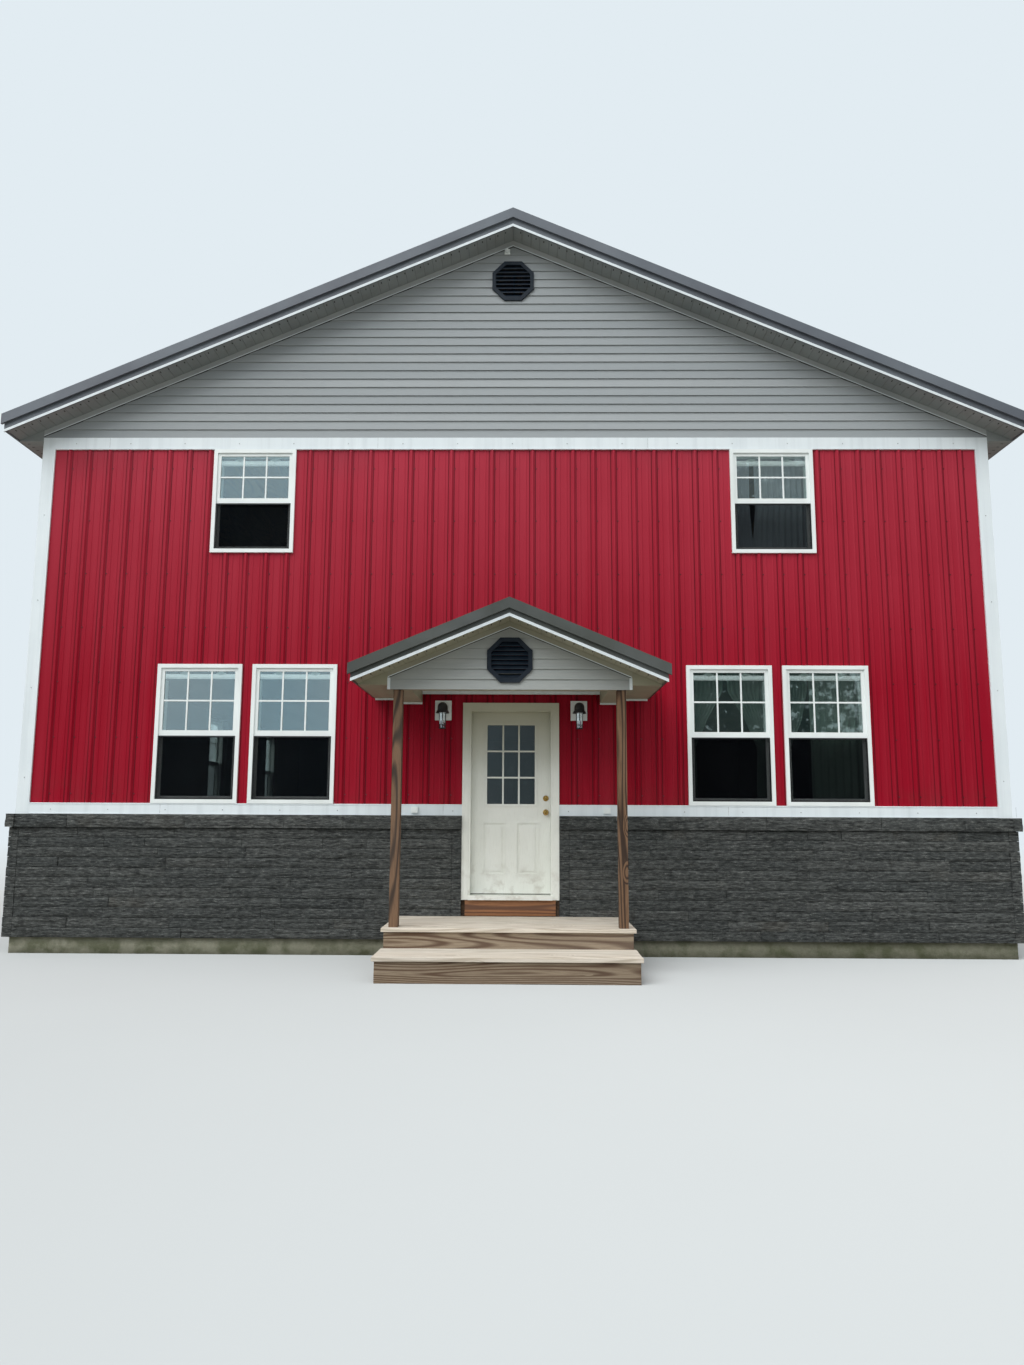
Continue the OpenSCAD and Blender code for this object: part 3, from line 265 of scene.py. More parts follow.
class Nodes:
    """A tree of shader nodes. Each call adds one, takes sockets or plain values, and gives back a socket."""

    def __init__(self, tree):
        self.tree = tree
        tree.nodes.clear()

    def add(self, kind, inputs=None, **settings):
        node = self.tree.nodes.new("ShaderNode" + kind)
        for key, value in settings.items():
            setattr(node, key, value)
        for key, value in (inputs or {}).items():
            if isinstance(value, bpy.types.NodeSocket):
                self.tree.links.new(value, node.inputs[key])
            else:
                node.inputs[key].default_value = value
        return node

    def math(self, operation, a, b=0.0):
        return self.add("Math", {0: a, 1: b}, operation=operation).outputs[0]

    def part(self, value, share):
        return self.math("MULTIPLY", value, share)

    def span(self, value, low, high, from_=0.0, to=1.0):
        """Takes value from low..high to from_..to and holds it there at the ends."""
        return self.add("MapRange", {0: value, 1: low, 2: high, 3: from_, 4: to}).outputs[0]

    def blend(self, share, *colours):
        """Two colours mixed, each a socket or given as 0 to 255 as it looks on screen."""
        a, b = (srgb(*colour) if isinstance(colour, tuple) else colour for colour in colours)
        return self.add("Mix", {0: share, 6: a, 7: b}, data_type="RGBA").outputs[2]


class Finish(Nodes):
    """A procedural material. Its colour starts from a ground and takes stains, one over the other."""

    def __init__(self, name):
        self.material = bpy.data.materials.new(name)
        self.material.use_nodes = True
        super().__init__(self.material.node_tree)
        self.at = self.add("TexCoord").outputs["Object"]
        self.x, self.y, self.z = self.add("SeparateXYZ", {0: self.at}).outputs
        self.tone = self.add("Attribute", attribute_name="tone").outputs["Fac"]
        self.colour = None

    def stretched(self, stretch, by_tone=False):
        at = self.add("VectorMath", {0: self.at, 1: stretch}, operation="MULTIPLY").outputs[0]
        if not by_tone:
            return at
        return self.add("VectorMath", {0: at, 1: self.part(self.tone, 37.0)}, operation="ADD").outputs[0]

    def noise(self, scale, stretch=(1, 1, 1), detail=4.0, rough=0.55, by_tone=False):
        inputs = {"Vector": self.stretched(stretch, by_tone), "Scale": scale, "Detail": detail}
        return self.add("TexNoise", {**inputs, "Roughness": rough}).outputs["Fac"]

    def spots(self, scale, stretch=(1, 1, 1), by_tone=False):
        """Distance to the nearest of scattered points."""
        inputs = {"Vector": self.stretched(stretch, by_tone), "Scale": scale}
        return self.add("TexVoronoi", inputs).outputs["Distance"]

    def facing_up(self, normal="Normal"):
        return self.add("SeparateXYZ", {0: self.add("NewGeometry").outputs[normal]}).outputs[2]

    def either(self, share, a, b):
        """Two numbers mixed."""
        return self.add("Mix", {0: share, 2: a, 3: b}, data_type="FLOAT").outputs[0]

    def lines(self, along, pitch, width):
        """1 on a thin line at every pitch along a coordinate, 0 between."""
        return self.span(self.math("PINGPONG", along, pitch / 2), width / 2, width, 1.0, 0.0)

    def steps(self, along, pitch):
        """A random number for each pitch along a coordinate."""
        step = self.math("FLOOR", self.math("DIVIDE", along, pitch))
        return self.add("TexWhiteNoise", {"W": step}, noise_dimensions="1D").outputs["Value"]

    def bump(self, height, depth, under=None):
        inputs = {"Height": height, "Distance": depth}
        if under:
            inputs["Normal"] = under
        return self.add("Bump", inputs).outputs[0]

    def ground(self, share, a, b):
        self.colour = self.blend(share, a, b)

    def stain(self, where, share, colour):
        self.colour = self.blend(self.part(where, share), self.colour, colour)

    def coat(self, roughness, normal, **fixed):
        """The shader of a solid surface, with its fixed values set on the shader's own sockets."""
        inputs = {"Base Color": self.colour, "Roughness": roughness, "Normal": normal}
        inputs.update({key.replace("_", " "): value for key, value in fixed.items()})
        return self.show(self.add("BsdfPrincipled", inputs))

    def mixed(self, share, a, b):
        """Two shaders mixed."""
        return self.add("MixShader", {0: share, 1: a.outputs[0], 2: b.outputs[0]})

    def show(self, shader):
        self.add("OutputMaterial", {"Surface": shader.outputs[0]}).is_active_output = True
        return self.material


def red_steel(f):
    # Lighter towards the top: painted sheen of the sky on the satin paint.
    f.ground(f.span(f.z, 2.8, 5.4), (150, 6, 34), (176, 50, 68))
    f.stain(f.span(f.noise(0.5), 0.35, 0.65), 0.30, (140, 10, 32))
    f.stain(f.span(f.noise(1.0, (9, 9, 0.35)), 0.42, 0.70), 0.18, (182, 62, 78))
    # Patchy darkening towards the top of the siding, under the band and the eaves.
    darker_top = f.part(f.span(f.z, 5.15, 5.56), f.span(f.noise(2.2, (1, 1, 0.3)), 0.45, 0.7))
    f.stain(darker_top, 0.30, (120, 60, 70))
    splash = f.part(f.span(f.z, 1.95, 1.58), f.span(f.noise(6.0), 0.4, 0.7))
    f.stain(splash, 0.30, (112, 46, 44))
    on_front = f.math("GREATER_THAN", f.math("ABSOLUTE", f.y), CORE.y - 0.03)
    along = f.math("PINGPONG", f.either(on_front, f.y, f.x), RIB_PITCH / 2)
    beside_rib = f.math("ABSOLUTE", f.math("SUBTRACT", along, RIB_FOOT_HALF))
    # Dark lines beside each rib's foot: painted shade in the creases.
    rib_foot_shade = f.part(f.span(beside_rib, 0.009, 0.003), f.span(f.noise(2.0, (3, 3, 0.4)), 0.2, 0.6, 0.45, 0.85))
    f.colour = f.blend(rib_foot_shade, f.colour, (84, 6, 20))
    dents = f.bump(f.noise(1.3, (2.2, 2.2, 0.5), 2.0), 0.010)
    grain = f.bump(f.noise(420.0, detail=2.0), 0.00025, dents)
    return f.coat(f.span(f.noise(3.0), 0.3, 0.7, 0.42, 0.56), grain, Specular_IOR_Level=0.12)


def white_steel(f):
    f.ground(f.part(f.span(f.noise(1.7), 0.35, 0.7), 0.35), (230, 239, 242), (212, 224, 230))
    f.stain(f.span(f.noise(1.0, (14, 14, 0.5)), 0.45, 0.75), 0.30, (186, 196, 200))
    f.stain(f.span(f.spots(26.0), 0.05, 0.02), 0.35, (150, 150, 142))
    return f.coat(f.span(f.noise(4.0), 0.3, 0.7, 0.34, 0.50), f.bump(f.noise(2.2, detail=2.0), 0.004))


def main_or_porch(f, porch, main):
    """One colour below the porch's ridge and another above it."""
    return f.blend(f.span(f.z, 3.8, 4.6), porch, main)


def roof_steel(f):
    chalk = f.span(f.noise(0.9), 0.35, 0.68)
    main = f.blend(chalk, (84, 88, 97), (102, 110, 118))
    f.colour = main_or_porch(f, f.blend(chalk, (62, 65, 61), (74, 78, 73)), main)
    f.stain(f.span(f.noise(1.0, (1.2, 11, 1.2)), 0.45, 0.72), 0.25, (128, 134, 140))
    f.stain(f.span(f.spots(30.0), 0.05, 0.02), 0.4, (50, 52, 54))
    return f.coat(f.span(f.noise(3.0), 0.3, 0.7, 0.36, 0.55), f.bump(f.noise(1.6, detail=2.0), 0.006))


def gray_vinyl(f):
    course = f.steps(f.z, 0.1016)
    main = f.blend(course, (151, 158, 161), (165, 171, 173))
    f.colour = main_or_porch(f, f.blend(course, (166, 171, 168), (180, 184, 180)), main)
    f.stain(f.span(f.noise(1.1), 0.35, 0.68), 0.3, (154, 159, 160))
    grain = f.noise(9.0, (1, 1, 22), 5.0, 0.65)
    f.stain(f.span(grain, 0.50, 0.62), 0.18, (134, 140, 146))
    return f.coat(0.58, f.bump(grain, 0.0012), Specular_IOR_Level=0.35)


def soffit_gray(f):
    """Vinyl soffit: bluish grey under the main roof, olive under the porch, with grooves underneath."""
    normal = f.facing_up("True Normal")
    along = f.either(f.span(normal, -0.98, -0.995), f.x, f.y)
    groove = f.part(f.lines(along, 0.102, 0.005), f.span(normal, -0.5, -0.8))
    cloudy = f.span(f.noise(1.3), 0.35, 0.68)
    main = f.blend(cloudy, (138, 145, 146), (152, 158, 158))
    f.colour = main_or_porch(f, f.blend(cloudy, (158, 156, 134), (170, 168, 148)), main)
    # Darker lines along the grooves: painted shade in them.
    f.stain(groove, 0.30, (96, 98, 92))
    f.stain(f.span(f.noise(7.0), 0.5, 0.75), 0.25, (128, 126, 114))
    return f.coat(0.6, f.bump(groove, -0.003, f.bump(f.noise(60.0), 0.0006)), Specular_IOR_Level=0.3)


def navy_vent(f):
    f.ground(f.part(f.span(f.noise(9.0, detail=5.0), 0.45, 0.75), 0.4), (22, 32, 44), (50, 60, 70))
    return f.coat(0.5, f.bump(f.noise(140.0), 0.0003), Specular_IOR_Level=0.25)


def white_vinyl(f):
    f.ground(f.part(f.span(f.noise(2.6, (1, 1, 0.5)), 0.42, 0.75), 0.4), (238, 245, 244), (205, 212, 210))
    f.stain(f.span(f.spots(34.0), 0.06, 0.02), 0.25, (140, 140, 132))
    return f.coat(f.span(f.noise(5.0), 0.3, 0.7, 0.32, 0.46), f.bump(f.noise(180.0), 0.0001))


def door_paint(f):
    f.ground(f.part(f.span(f.noise(1.8, (1, 1, 0.6)), 0.4, 0.72), 0.4), (238, 241, 234), (212, 214, 202))
    # Olive darkening towards the top of the door: painted shade under the porch roof.
    f.stain(f.span(f.z, 1.9, 2.6), 0.75, (172, 170, 142))
    grain = f.noise(16.0, (9, 9, 0.7), 4.0)
    f.stain(f.span(grain, 0.52, 0.68), 0.12, (176, 176, 164))
    scuffs = f.part(f.span(f.z, 1.05, 0.64), f.span(f.noise(9.0, detail=6.0), 0.5, 0.72))
    f.stain(scuffs, 0.5, (150, 138, 118))
    return f.coat(0.42, f.bump(grain, 0.0010))


def concrete(f):
    fine = f.span(f.noise(24.0, detail=8.0, rough=0.7), 0.35, 0.65)
    f.ground(f.span(f.noise(1.4, detail=6.0), 0.32, 0.68), (142, 143, 124), (166, 166, 148))
    f.stain(fine, 0.35, (112, 112, 96))
    f.stain(f.part(f.span(f.x, 0.0, 3.0), f.span(f.noise(0.7), 0.3, 0.5)), 0.5, (78, 80, 62))
    green = f.part(f.span(f.noise(5.0, detail=7.0), 0.44, 0.62), f.span(f.z, 0.30, 0.04))
    f.stain(green, 0.75, (70, 78, 46))
    f.stain(f.span(f.z, 0.09, 0.0), 0.6, (56, 56, 44))
    height = f.math("ADD", f.part(f.span(f.spots(55.0), 0.0, 0.16), 0.5), fine)
    return f.coat(0.9, f.bump(height, 0.004), Specular_IOR_Level=0.3)


def split_stone(f):
    strata = f.noise(5.0, (3.0, 3.0, 11), 9.0, 0.74)
    grit = f.noise(150.0, detail=3.0)
    bands = f.noise(3.0, (1.0, 1.0, 20), 6.0, 0.6)
    cracks = f.span(f.math("ABSOLUTE", f.math("SUBTRACT", bands, 0.5)), 0.018, 0.004)
    f.ground(f.tone, (80, 84, 83), (96, 99, 97))
    f.colour = f.blend(f.span(strata, 0.40, 0.53), f.blend(0.7, f.colour, (36, 38, 39)), f.colour)
    f.stain(f.part(f.span(strata, 0.53, 0.62), f.span(grit, 0.48, 0.58)), 0.8, (150, 152, 147))
    # Darker cracks: painted shade in them.
    f.stain(cracks, 0.45, (26, 27, 28))
    f.stain(f.part(f.span(f.tone, 0.90, 0.95), f.span(f.noise(4.0), 0.45, 0.6)), 0.2, (88, 80, 66))
    # Faces that turn up are lighter: painted light from above.
    f.stain(f.span(f.facing_up(), 0.3, 0.9), 0.45, (128, 130, 124))
    height = f.math("ADD", f.part(strata, 2.0), f.part(grit, 0.25))
    height = f.math("SUBTRACT", height, f.part(cracks, 0.5))
    return f.coat(0.88, f.bump(height, 0.012), Specular_IOR_Level=0.3)


def joint_mortar(f):
    f.ground(f.span(f.noise(14.0, detail=6.0), 0.35, 0.65), (36, 38, 38), (58, 60, 59))
    return f.coat(0.95, f.bump(f.noise(90.0), 0.003))


def wood(f, light, dark, grain_axis, rings=90.0, weather=(150, 146, 138), worn=0.3, knots=0.6):
    """Sawn boards: arched growth rings and knots along the grain, shifted from board to board by tone."""
    long, short = [1.0, 1.0, 1.0], [1.0, 1.0, 1.0]
    long[grain_axis], short[grain_axis] = 0.07, 0.35
    knot = f.spots(4.2, short, by_tone=True)
    swell = f.math("ADD", f.noise(5.0, long, 1.0, 0.4, by_tone=True), f.part(f.span(knot, 0.20, 0.0), 0.25))
    ring = f.span(f.math("SINE", f.part(swell, rings)), -0.95, 0.35)
    fibre = f.noise(70.0, long, 5.0, 0.7, by_tone=True)
    f.ground(ring, dark, light)
    f.stain(f.span(fibre, 0.40, 0.66), 0.45, dark)
    f.stain(f.span(f.noise(2.4, long, by_tone=True), 0.4, 0.7), worn, weather)
    f.stain(f.tone, 0.30, f.blend(0.5, f.colour, dark))
    f.stain(f.span(knot, 0.075, 0.04), knots, f.blend(0.6, dark, (30, 20, 14)))
    height = f.math("ADD", f.part(ring, 0.4), fibre)
    return f.coat(f.span(fibre, 0.3, 0.7, 0.62, 0.82), f.bump(height, 0.0022), Specular_IOR_Level=0.3)


def brass(f):
    f.ground(f.span(f.noise(38.0), 0.35, 0.7), (206, 168, 96), (150, 112, 58))
    return f.coat(f.span(f.noise(60.0), 0.3, 0.7, 0.18, 0.36), f.bump(f.noise(240.0), 0.0001), Metallic=1.0)


def black_metal(f):
    f.ground(f.part(f.span(f.noise(26.0, detail=5.0), 0.5, 0.75), 0.5), (16, 16, 18), (48, 47, 46))
    return f.coat(0.42, f.bump(f.noise(260.0), 0.0003))


def plain_paint(f, colour, shade, glow=0.0):
    """Satin paint or plastic, slightly cloudy. With a glow it shines by itself, which is painted light."""
    f.ground(f.span(f.noise(30.0), 0.35, 0.65), colour, shade)
    grain = f.bump(f.noise(300.0), 0.0002)
    return f.coat(0.45, grain, Emission_Color=srgb(*colour), Emission_Strength=glow)


# A near-black finish that stands for shade: painted shade.
def dark_gap(f):
    f.ground(f.span(f.noise(20.0), 0.35, 0.65), (18, 19, 20), (34, 35, 36))
    return f.coat(0.8, f.bump(f.noise(120.0), 0.0004))


def curtain_cloth(f):
    """Woven cloth, greenish behind the ground-floor windows and paler upstairs, where it also glows by itself
    as painted light.
    """
    thread = 2400.0
    weave = f.math("ADD", f.math("SINE", f.part(f.x, thread)), f.math("SINE", f.part(f.z, thread)))
    low = f.blend(f.span(f.noise(3.0), 0.35, 0.68), (150, 168, 157), (134, 152, 142))
    f.ground(f.span(f.z, 3.2, 4.2), low, (198, 203, 212))
    f.colour = f.blend(f.span(weave, -2.0, 2.0, 0.0, 0.18), f.colour, (120, 130, 124))
    normal = f.bump(weave, 0.0003)
    # The emission upstairs is painted light.
    solid = f.add("BsdfPrincipled", {
        "Base Color": f.colour, "Roughness": 0.9, "Normal": normal, "Sheen Weight": 0.2,
        "Emission Color": f.colour, "Emission Strength": f.span(f.z, 3.2, 4.2, 0.0, 0.10)})
    through = f.add("BsdfTranslucent", {"Color": f.colour, "Normal": normal})
    return f.show(f.mixed(0.25, solid, through))


def pane_glass(f, tint, mirror, screened_to=None):
    """Flat glass, tinted and see-through under a faint wavy mirror, which is weaker behind a screen."""
    if screened_to is not None:
        mirror = f.span(f.z, screened_to - 0.01, screened_to + 0.01, 0.03, mirror)
    wavy = f.bump(f.noise(1.2, detail=1.0), 0.0012)
    film = f.span(f.noise(2.0, (1, 1, 0.4), 5.0), 0.4, 0.75, 0.0, 0.05)
    clear = f.add("BsdfTransparent", {"Color": tint})
    shine = f.add("BsdfGlossy", {"Color": srgb(236, 244, 247), "Roughness": 0.006, "Normal": wavy})
    dust = f.add("BsdfDiffuse", {"Color": srgb(150, 155, 150)})
    return f.show(f.mixed(film, f.mixed(mirror, clear, shine), dust))


def screen_mesh(f):
    """Woven screen: fine black wires with the openings between them see-through."""
    wires = f.span(f.noise(90.0, detail=2.0), 0.3, 0.7, 0.44, 0.52)
    black = f.blend(f.noise(30.0), (7, 8, 12), (13, 14, 18))
    clear = f.add("BsdfTransparent", {"Color": (1, 1, 1, 1)})
    wire = f.add("BsdfDiffuse", {"Color": black, "Roughness": 0.6})
    return f.show(f.mixed(wires, clear, wire))


def frieze_vinyl(f):
    """Smooth board under the soffit, lighter along the main gables than along the porch."""
    cloudy = f.span(f.noise(1.3), 0.35, 0.68)
    main = f.blend(cloudy, (164, 170, 172), (178, 183, 184))
    f.colour = main_or_porch(f, f.blend(cloudy, (160, 159, 140), (172, 171, 153)), main)
    return f.coat(0.55, f.bump(f.noise(60.0), 0.0004), Specular_IOR_Level=0.3)


def framed_wall(f):
    # Dark lining: painted shade of the unlit rooms.
    f.ground(f.span(f.noise(1.6), 0.35, 0.65), (56, 55, 52), (46, 45, 42))
    return f.coat(0.85, f.bump(f.noise(50.0), 0.0006), Specular_IOR_Level=0.2)


def meeting_height(storey):
    """Height of the middle of the meeting rails of a storey's windows."""
    sill, height = storey
    return sill + height / 2


WINDOW_TINT = (0.92, 0.97, 0.96, 1.0)
SINGLE_FINISHES = (
    concrete, framed_wall, split_stone, joint_mortar, dark_gap, red_steel, white_steel, roof_steel,
    gray_vinyl, soffit_gray, frieze_vinyl, navy_vent, white_vinyl, screen_mesh, black_metal, curtain_cloth,
    door_paint, brass)
FAMILY_FINISHES = {
    "floor_wood": (wood, dict(light=(84, 62, 42), dark=(54, 38, 26), grain_axis=1)),
    "roof_wood": (wood, dict(light=(170, 138, 98), dark=(124, 94, 62), grain_axis=1)),
    "kick_wood": (wood, dict(light=(158, 104, 62), dark=(96, 56, 30), grain_axis=0, worn=0.15)),
    "riser_wood": (wood, dict(light=(154, 138, 116), dark=(92, 70, 53), grain_axis=0, rings=110.0, worn=0.2)),
    "deck_wood": (wood, dict(light=(224, 216, 202), dark=(188, 177, 160), grain_axis=0,
                             weather=(200, 198, 190), worn=0.5, knots=0.4)),
    "post_wood": (wood, dict(light=(124, 94, 69), dark=(54, 37, 26), grain_axis=2, worn=0.15, knots=0.9)),
    "window_glass": (pane_glass, dict(tint=WINDOW_TINT, mirror=0.22, screened_to=meeting_height(GROUND))),
    "upper_pane": (pane_glass, dict(tint=WINDOW_TINT, mirror=0.22, screened_to=meeting_height(UPPER))),
    "door_pane": (pane_glass, dict(tint=(0.40, 0.45, 0.45, 1.0), mirror=0.07)),
    "lamp_glass": (pane_glass, dict(tint=(0.90, 0.93, 0.93, 1.0), mirror=0.22)),
    # This vinyl glows by itself: painted light on the blind slats and the lantern strips.
    "blind_vinyl": (plain_paint, dict(colour=(250, 253, 253), shade=(238, 244, 245), glow=0.2)),
    "screen_frame": (plain_paint, dict(colour=(14, 14, 16), shade=(9, 9, 11))),
    "red_screw": (plain_paint, dict(colour=(110, 12, 30), shade=(70, 10, 22))),
    "white_screw": (plain_paint, dict(colour=(196, 204, 206), shade=(140, 146, 148))),
    "roof_screw": (plain_paint, dict(colour=(88, 92, 98), shade=(58, 62, 66))),
}
FINISHES = {build.__name__: build(Finish(build.__name__)) for build in SINGLE_FINISHES}
FINISHES.update((name, build(Finish(name), **looks)) for name, (build, looks) in FAMILY_FINISHES.items())

# Nodes whose finish doesn't have the name of their slot
NODE_FINISHES = {"door_glass": "door_pane", "window_glass_upper": "upper_pane",
                 "frieze_trims": "frieze_vinyl", "stone_wainscot": "split_stone",
                 "stone_ledge": "split_stone"}


def dress_cad_nodes():
    """Gives every carried-over node its finish, mostly that of its slot in the record."""
    for part in frame["record"]["subparts"]:
        materials = frame["nodes"][part["node"]].data.materials
        materials.clear()
        materials.append(FINISHES[NODE_FINISHES.get(part["node"], part["material_slot"])])


def rough_stone(pieces, wall, low, high, cell, rough, chamfer, tone, sides=(False, False)):
    """A split stone between two corners (u, z, out), with an uneven layered face and broken edges."""
    low, high = np.array(low), np.array(high)
    counts = tuple(max(1, round(length / size)) for length, size in zip(high - low, cell))
    steps, faces = block_cells(counts)
    share = steps / counts
    points = low + share * (high - low)
    front = share[:, 2] == 1
    rim = ((share[:, :2] == 0) | (share[:, :2] == 1)).any(1)
    seed = 50 * tone
    for i in np.flatnonzero(share[:, 2] > 0):
        u, z, out = points[i]
        at_layer = (LAYER_NOISE[0] * u + seed, LAYER_NOISE[1] * z, wall.half + LAYER_NOISE[2] * out)
        layer = noise.noise(Vector(at_layer))
        chips = noise.noise(Vector((CHIP_NOISE[0] * u, CHIP_NOISE[1] * z + seed, CHIP_NOISE[2] * out)))
        points[i, 2] += rough * (0.65 * layer + 0.6 * chips) if front[i] else 0
        points[i, 1] += 0.15 * rough * chips
    points[front & rim, 2] -= chamfer
    for end, exposed in zip((0, 1), sides):
        if exposed:
            points[share[:, 0] == end, 0] += (2 * end - 1) * rough * 0.5
    pieces.add(wall.place(points), faces, tone)


def cut_lengths(draw, start, end, lengths):
    """Cuts a row from start to end into random lengths with no sliver at its end."""
    glint_strips = [start]
    while end - glint_strips[-1] > lengths[1]:
        glint_strips.append(glint_strips[-1] + draw.uniform(lengths[0], min(lengths[1], end - glint_strips[-1] - lengths[0])))
    return list(zip(glint_strips, glint_strips[1:] + [end]))


def make_stone_facing(wall):
    """Courses of stones in random lengths, with end stones at the wall's corners and beside the door."""
    draw = random.Random("facing " + wall.name)
    course_h = (FACING_TOP - FACING_FOOT) / STONE_COURSES
    stones = Pieces()

    def lay(u0, u1, z, back, uneven, rough, chamfer):
        low = (u0 + STONE_JOINT / 2, z, back)
        high = (u1 - STONE_JOINT / 2, z + course_h - STONE_JOINT, STONE_OUT + draw.uniform(*uneven))
        rough_stone(stones, wall, low, high, STONE_CELL, rough, chamfer, draw.random())

    corner = wall.half + STONE_OUT - CORNER_STONE_W
    ends = [(-wall.half - STONE_OUT, 0.02), (corner, 0.02)]
    if wall is FRONT:
        ends += [(-CASING_HALF - CORNER_STONE_W, 0.01), (CASING_HALF, 0.01)]
    for course in range(STONE_COURSES):
        z = FACING_FOOT + course * course_h + STONE_JOINT / 2
        for start, end in beside_door(wall, corner, CASING_HALF + CORNER_STONE_W):
            for u0, u1 in cut_lengths(draw, start, end, STONE_LENGTHS):
                lay(u0, u1, z, 0.02, (-0.003, 0.005), 0.010, 0.006)
        for u0, back in ends:
            lay(u0, u0 + CORNER_STONE_W, z, back, (-0.002, 0.004), 0.006, 0.004)
    stones.make("stones_" + wall.name, "split_stone", "stone_facing", replaces=["stone_wainscot"])


def make_joints():
    """The dark bed that shows between the stones."""
    joints = Pieces()
    for wall in WALLS:
        for start, end in beside_door(wall, wall.half + (JOINT_OUT if wall in SIDES else 0.0)):
            joints.box(wall, (start, FACING_FOOT, 0.0), (end, FACING_TOP, JOINT_OUT))
    joints.make("stone_joints", "joint_mortar", "stone_facing", replaces=["stone_wainscot"])


def make_ledge():
    """Long stones of the ledge. Those of the side walls run past the corners and close them."""
    stones = Pieces()
    uneven, rough, chamfer = 0.003, 0.009, 0.005
    for wall in WALLS:
        draw = random.Random("ledge " + wall.name)
        reach = wall.half + (LEDGE_OUT if wall in SIDES else 0.0)
        for start, end in beside_door(wall, reach):
            for u0, u1 in cut_lengths(draw, start, end, LEDGE_LENGTHS):
                low = (u0 + STONE_JOINT / 2, FACING_TOP + 0.001, 0.0)
                high = (u1 - STONE_JOINT / 2, LEDGE_TOP, LEDGE_OUT - 0.004 + draw.uniform(-uneven, uneven))
                rough_stone(stones, wall, low, high, LEDGE_CELL, rough, chamfer, draw.random(),
                            (u0 == -reach, u1 == reach))
    stones.make("ledge_stones", "split_stone", "stone_facing", replaces=["stone_ledge"])


def clear_of_openings(wall, u, z, margin=0.05):
    """Whether a spot on a wall lies on its siding, clear of windows, door and porch."""
    for centre, sill, height in wall.windows:
        if abs(u - centre) < WINDOW_W / 2 + margin and sill - margin < z < sill + height + margin:
            return False
    if wall is FRONT:
        door_top, porch_foot, round_roof = 2.70, 2.64, 0.10
        under_door_top = abs(u) < CASING_HALF + margin and z < door_top
        at_porch = porch_foot < z < PORCH_TOP + round_roof - PORCH_SLOPE * abs(u)
        return not (under_door_top or (at_porch and abs(u) < PORCH_EAVE_X + round_roof))
    return True


def make_siding_screws():
    """Screws with washers beside every rib, in level rows."""
    first_row, beside_rib = 0.10, 0.010
    rows = [SIDING_FOOT + first_row + i * SCREW_PITCH for i in range(SCREW_ROWS)]
    for wall in WALLS:
        ribs = int((wall.half - CORNER_TRIM_W) / RIB_PITCH)
        along = [rib * RIB_PITCH + RIB_FOOT_HALF + beside_rib for rib in range(-ribs, ribs + 1)]
        spots = [(u, z) for u in along for z in rows if clear_of_openings(wall, u, z)]
        screws = Pieces()
        screws.screws(wall, spots, SHEET_T, (0.008, 0.002), (0.005, 0.007))
        screws.make("siding_screws_" + wall.name, "red_screw", "red_steel")


def make_trim_screws():
    """Painted screws on the corner trims, the band and the sill trims."""
    screws = Pieces()
    from_corner, first_up, step_up, per_corner = 0.045, 1.85, 0.98, 4
    over_ledge, over_siding = 0.05, 0.07
    for wall in WALLS:
        edge = wall.half - from_corner
        spots = [(side * edge, first_up + i * step_up) for side in (-1, 1) for i in range(per_corner)]
        count = int(2 * edge / SCREW_PITCH)
        along = [-edge + (i + 0.5) * 2 * edge / count for i in range(count)]
        spots += [(u, LEDGE_TOP + over_ledge) for u in along if wall is not FRONT or abs(u) > DOOR_CLEAR]
        if wall in GABLED:
            spots += [(u, SIDING_TOP + over_siding) for u in along]
        screws.screws(wall, spots, TRIM_OUT, (0.007, 0.002), (0.0045, 0.006))
    screws.make("trim_screws", "white_screw", "white_steel")


def make_trim_seams():
    """Laps where lengths of trim meet, in a darker grey that is painted shade along each lap, and the hemmed
    lips along their edges.
    """
    seams, lips = Pieces(), Pieces()
    lap, lap_out, inset, sill_shift = 0.003, 0.0006, 0.004, 0.8
    lip_out, lip_in, lip_h, band_lip_h, corner_clear = 0.004, 0.001, 0.012, 0.016, 0.12

    def seam(u, low, high):
        seams.box(wall, (u, low + inset, TRIM_OUT), (u + lap, high - inset, TRIM_OUT + lap_out))

    for wall in WALLS:
        reach = wall.half - corner_clear
        for u in np.arange(-TRIM_LENGTH * 1.5, reach, TRIM_LENGTH):
            if wall in GABLED:
                seam(u, SIDING_TOP, BAND_TOP)
            if wall is not FRONT or abs(u) > DOOR_CLEAR:
                seam(u + sill_shift, LEDGE_TOP, SIDING_FOOT)
        for start, end in beside_door(wall, reach, CASING_HALF + inset):
            for z in (LEDGE_TOP + lip_in, SIDING_FOOT - lip_in - lip_h):
                lips.box(wall, (start, z, TRIM_OUT), (end, z + lip_h, TRIM_OUT + lip_out))
        if wall in GABLED:
            top = SIDING_TOP + band_lip_h
            lips.box(wall, (-reach, SIDING_TOP, TRIM_OUT), (reach, top, TRIM_OUT + lip_out))
    seams.make("trim_seams", "white_screw", "white_steel")
    lips.make("trim_lips", "white_steel", "white_steel", bevel=0.0012)


def make_window_grids():
    """White bars over the glass of every upper sash: three panes across and two up."""
    bars = Pieces()
    half, reach = WINDOW_W / 2 - FRAME_FACE - SASH_FACE, BAR_W / 2
    for wall, centre, sill, height in every_window():
        z1 = sill + height - FRAME_FACE - SASH_FACE
        z0 = z1 - sash_height(height) + SASH_FACE + MEETING_FACE
        for u in (centre - half / 3, centre + half / 3):
            bars.box(wall, (u - reach, z0, GLASS_OUT), (u + reach, z1, GLASS_OUT + BAR_T))
        low, high = (z0 + z1) / 2 - reach, (z0 + z1) / 2 + reach
        bars.box(wall, (centre - half, low, GLASS_OUT), (centre + half, high, GLASS_OUT + BAR_T - HAIR))
    bars.make("window_bars", "white_vinyl", "white_vinyl", bevel=0.0015)


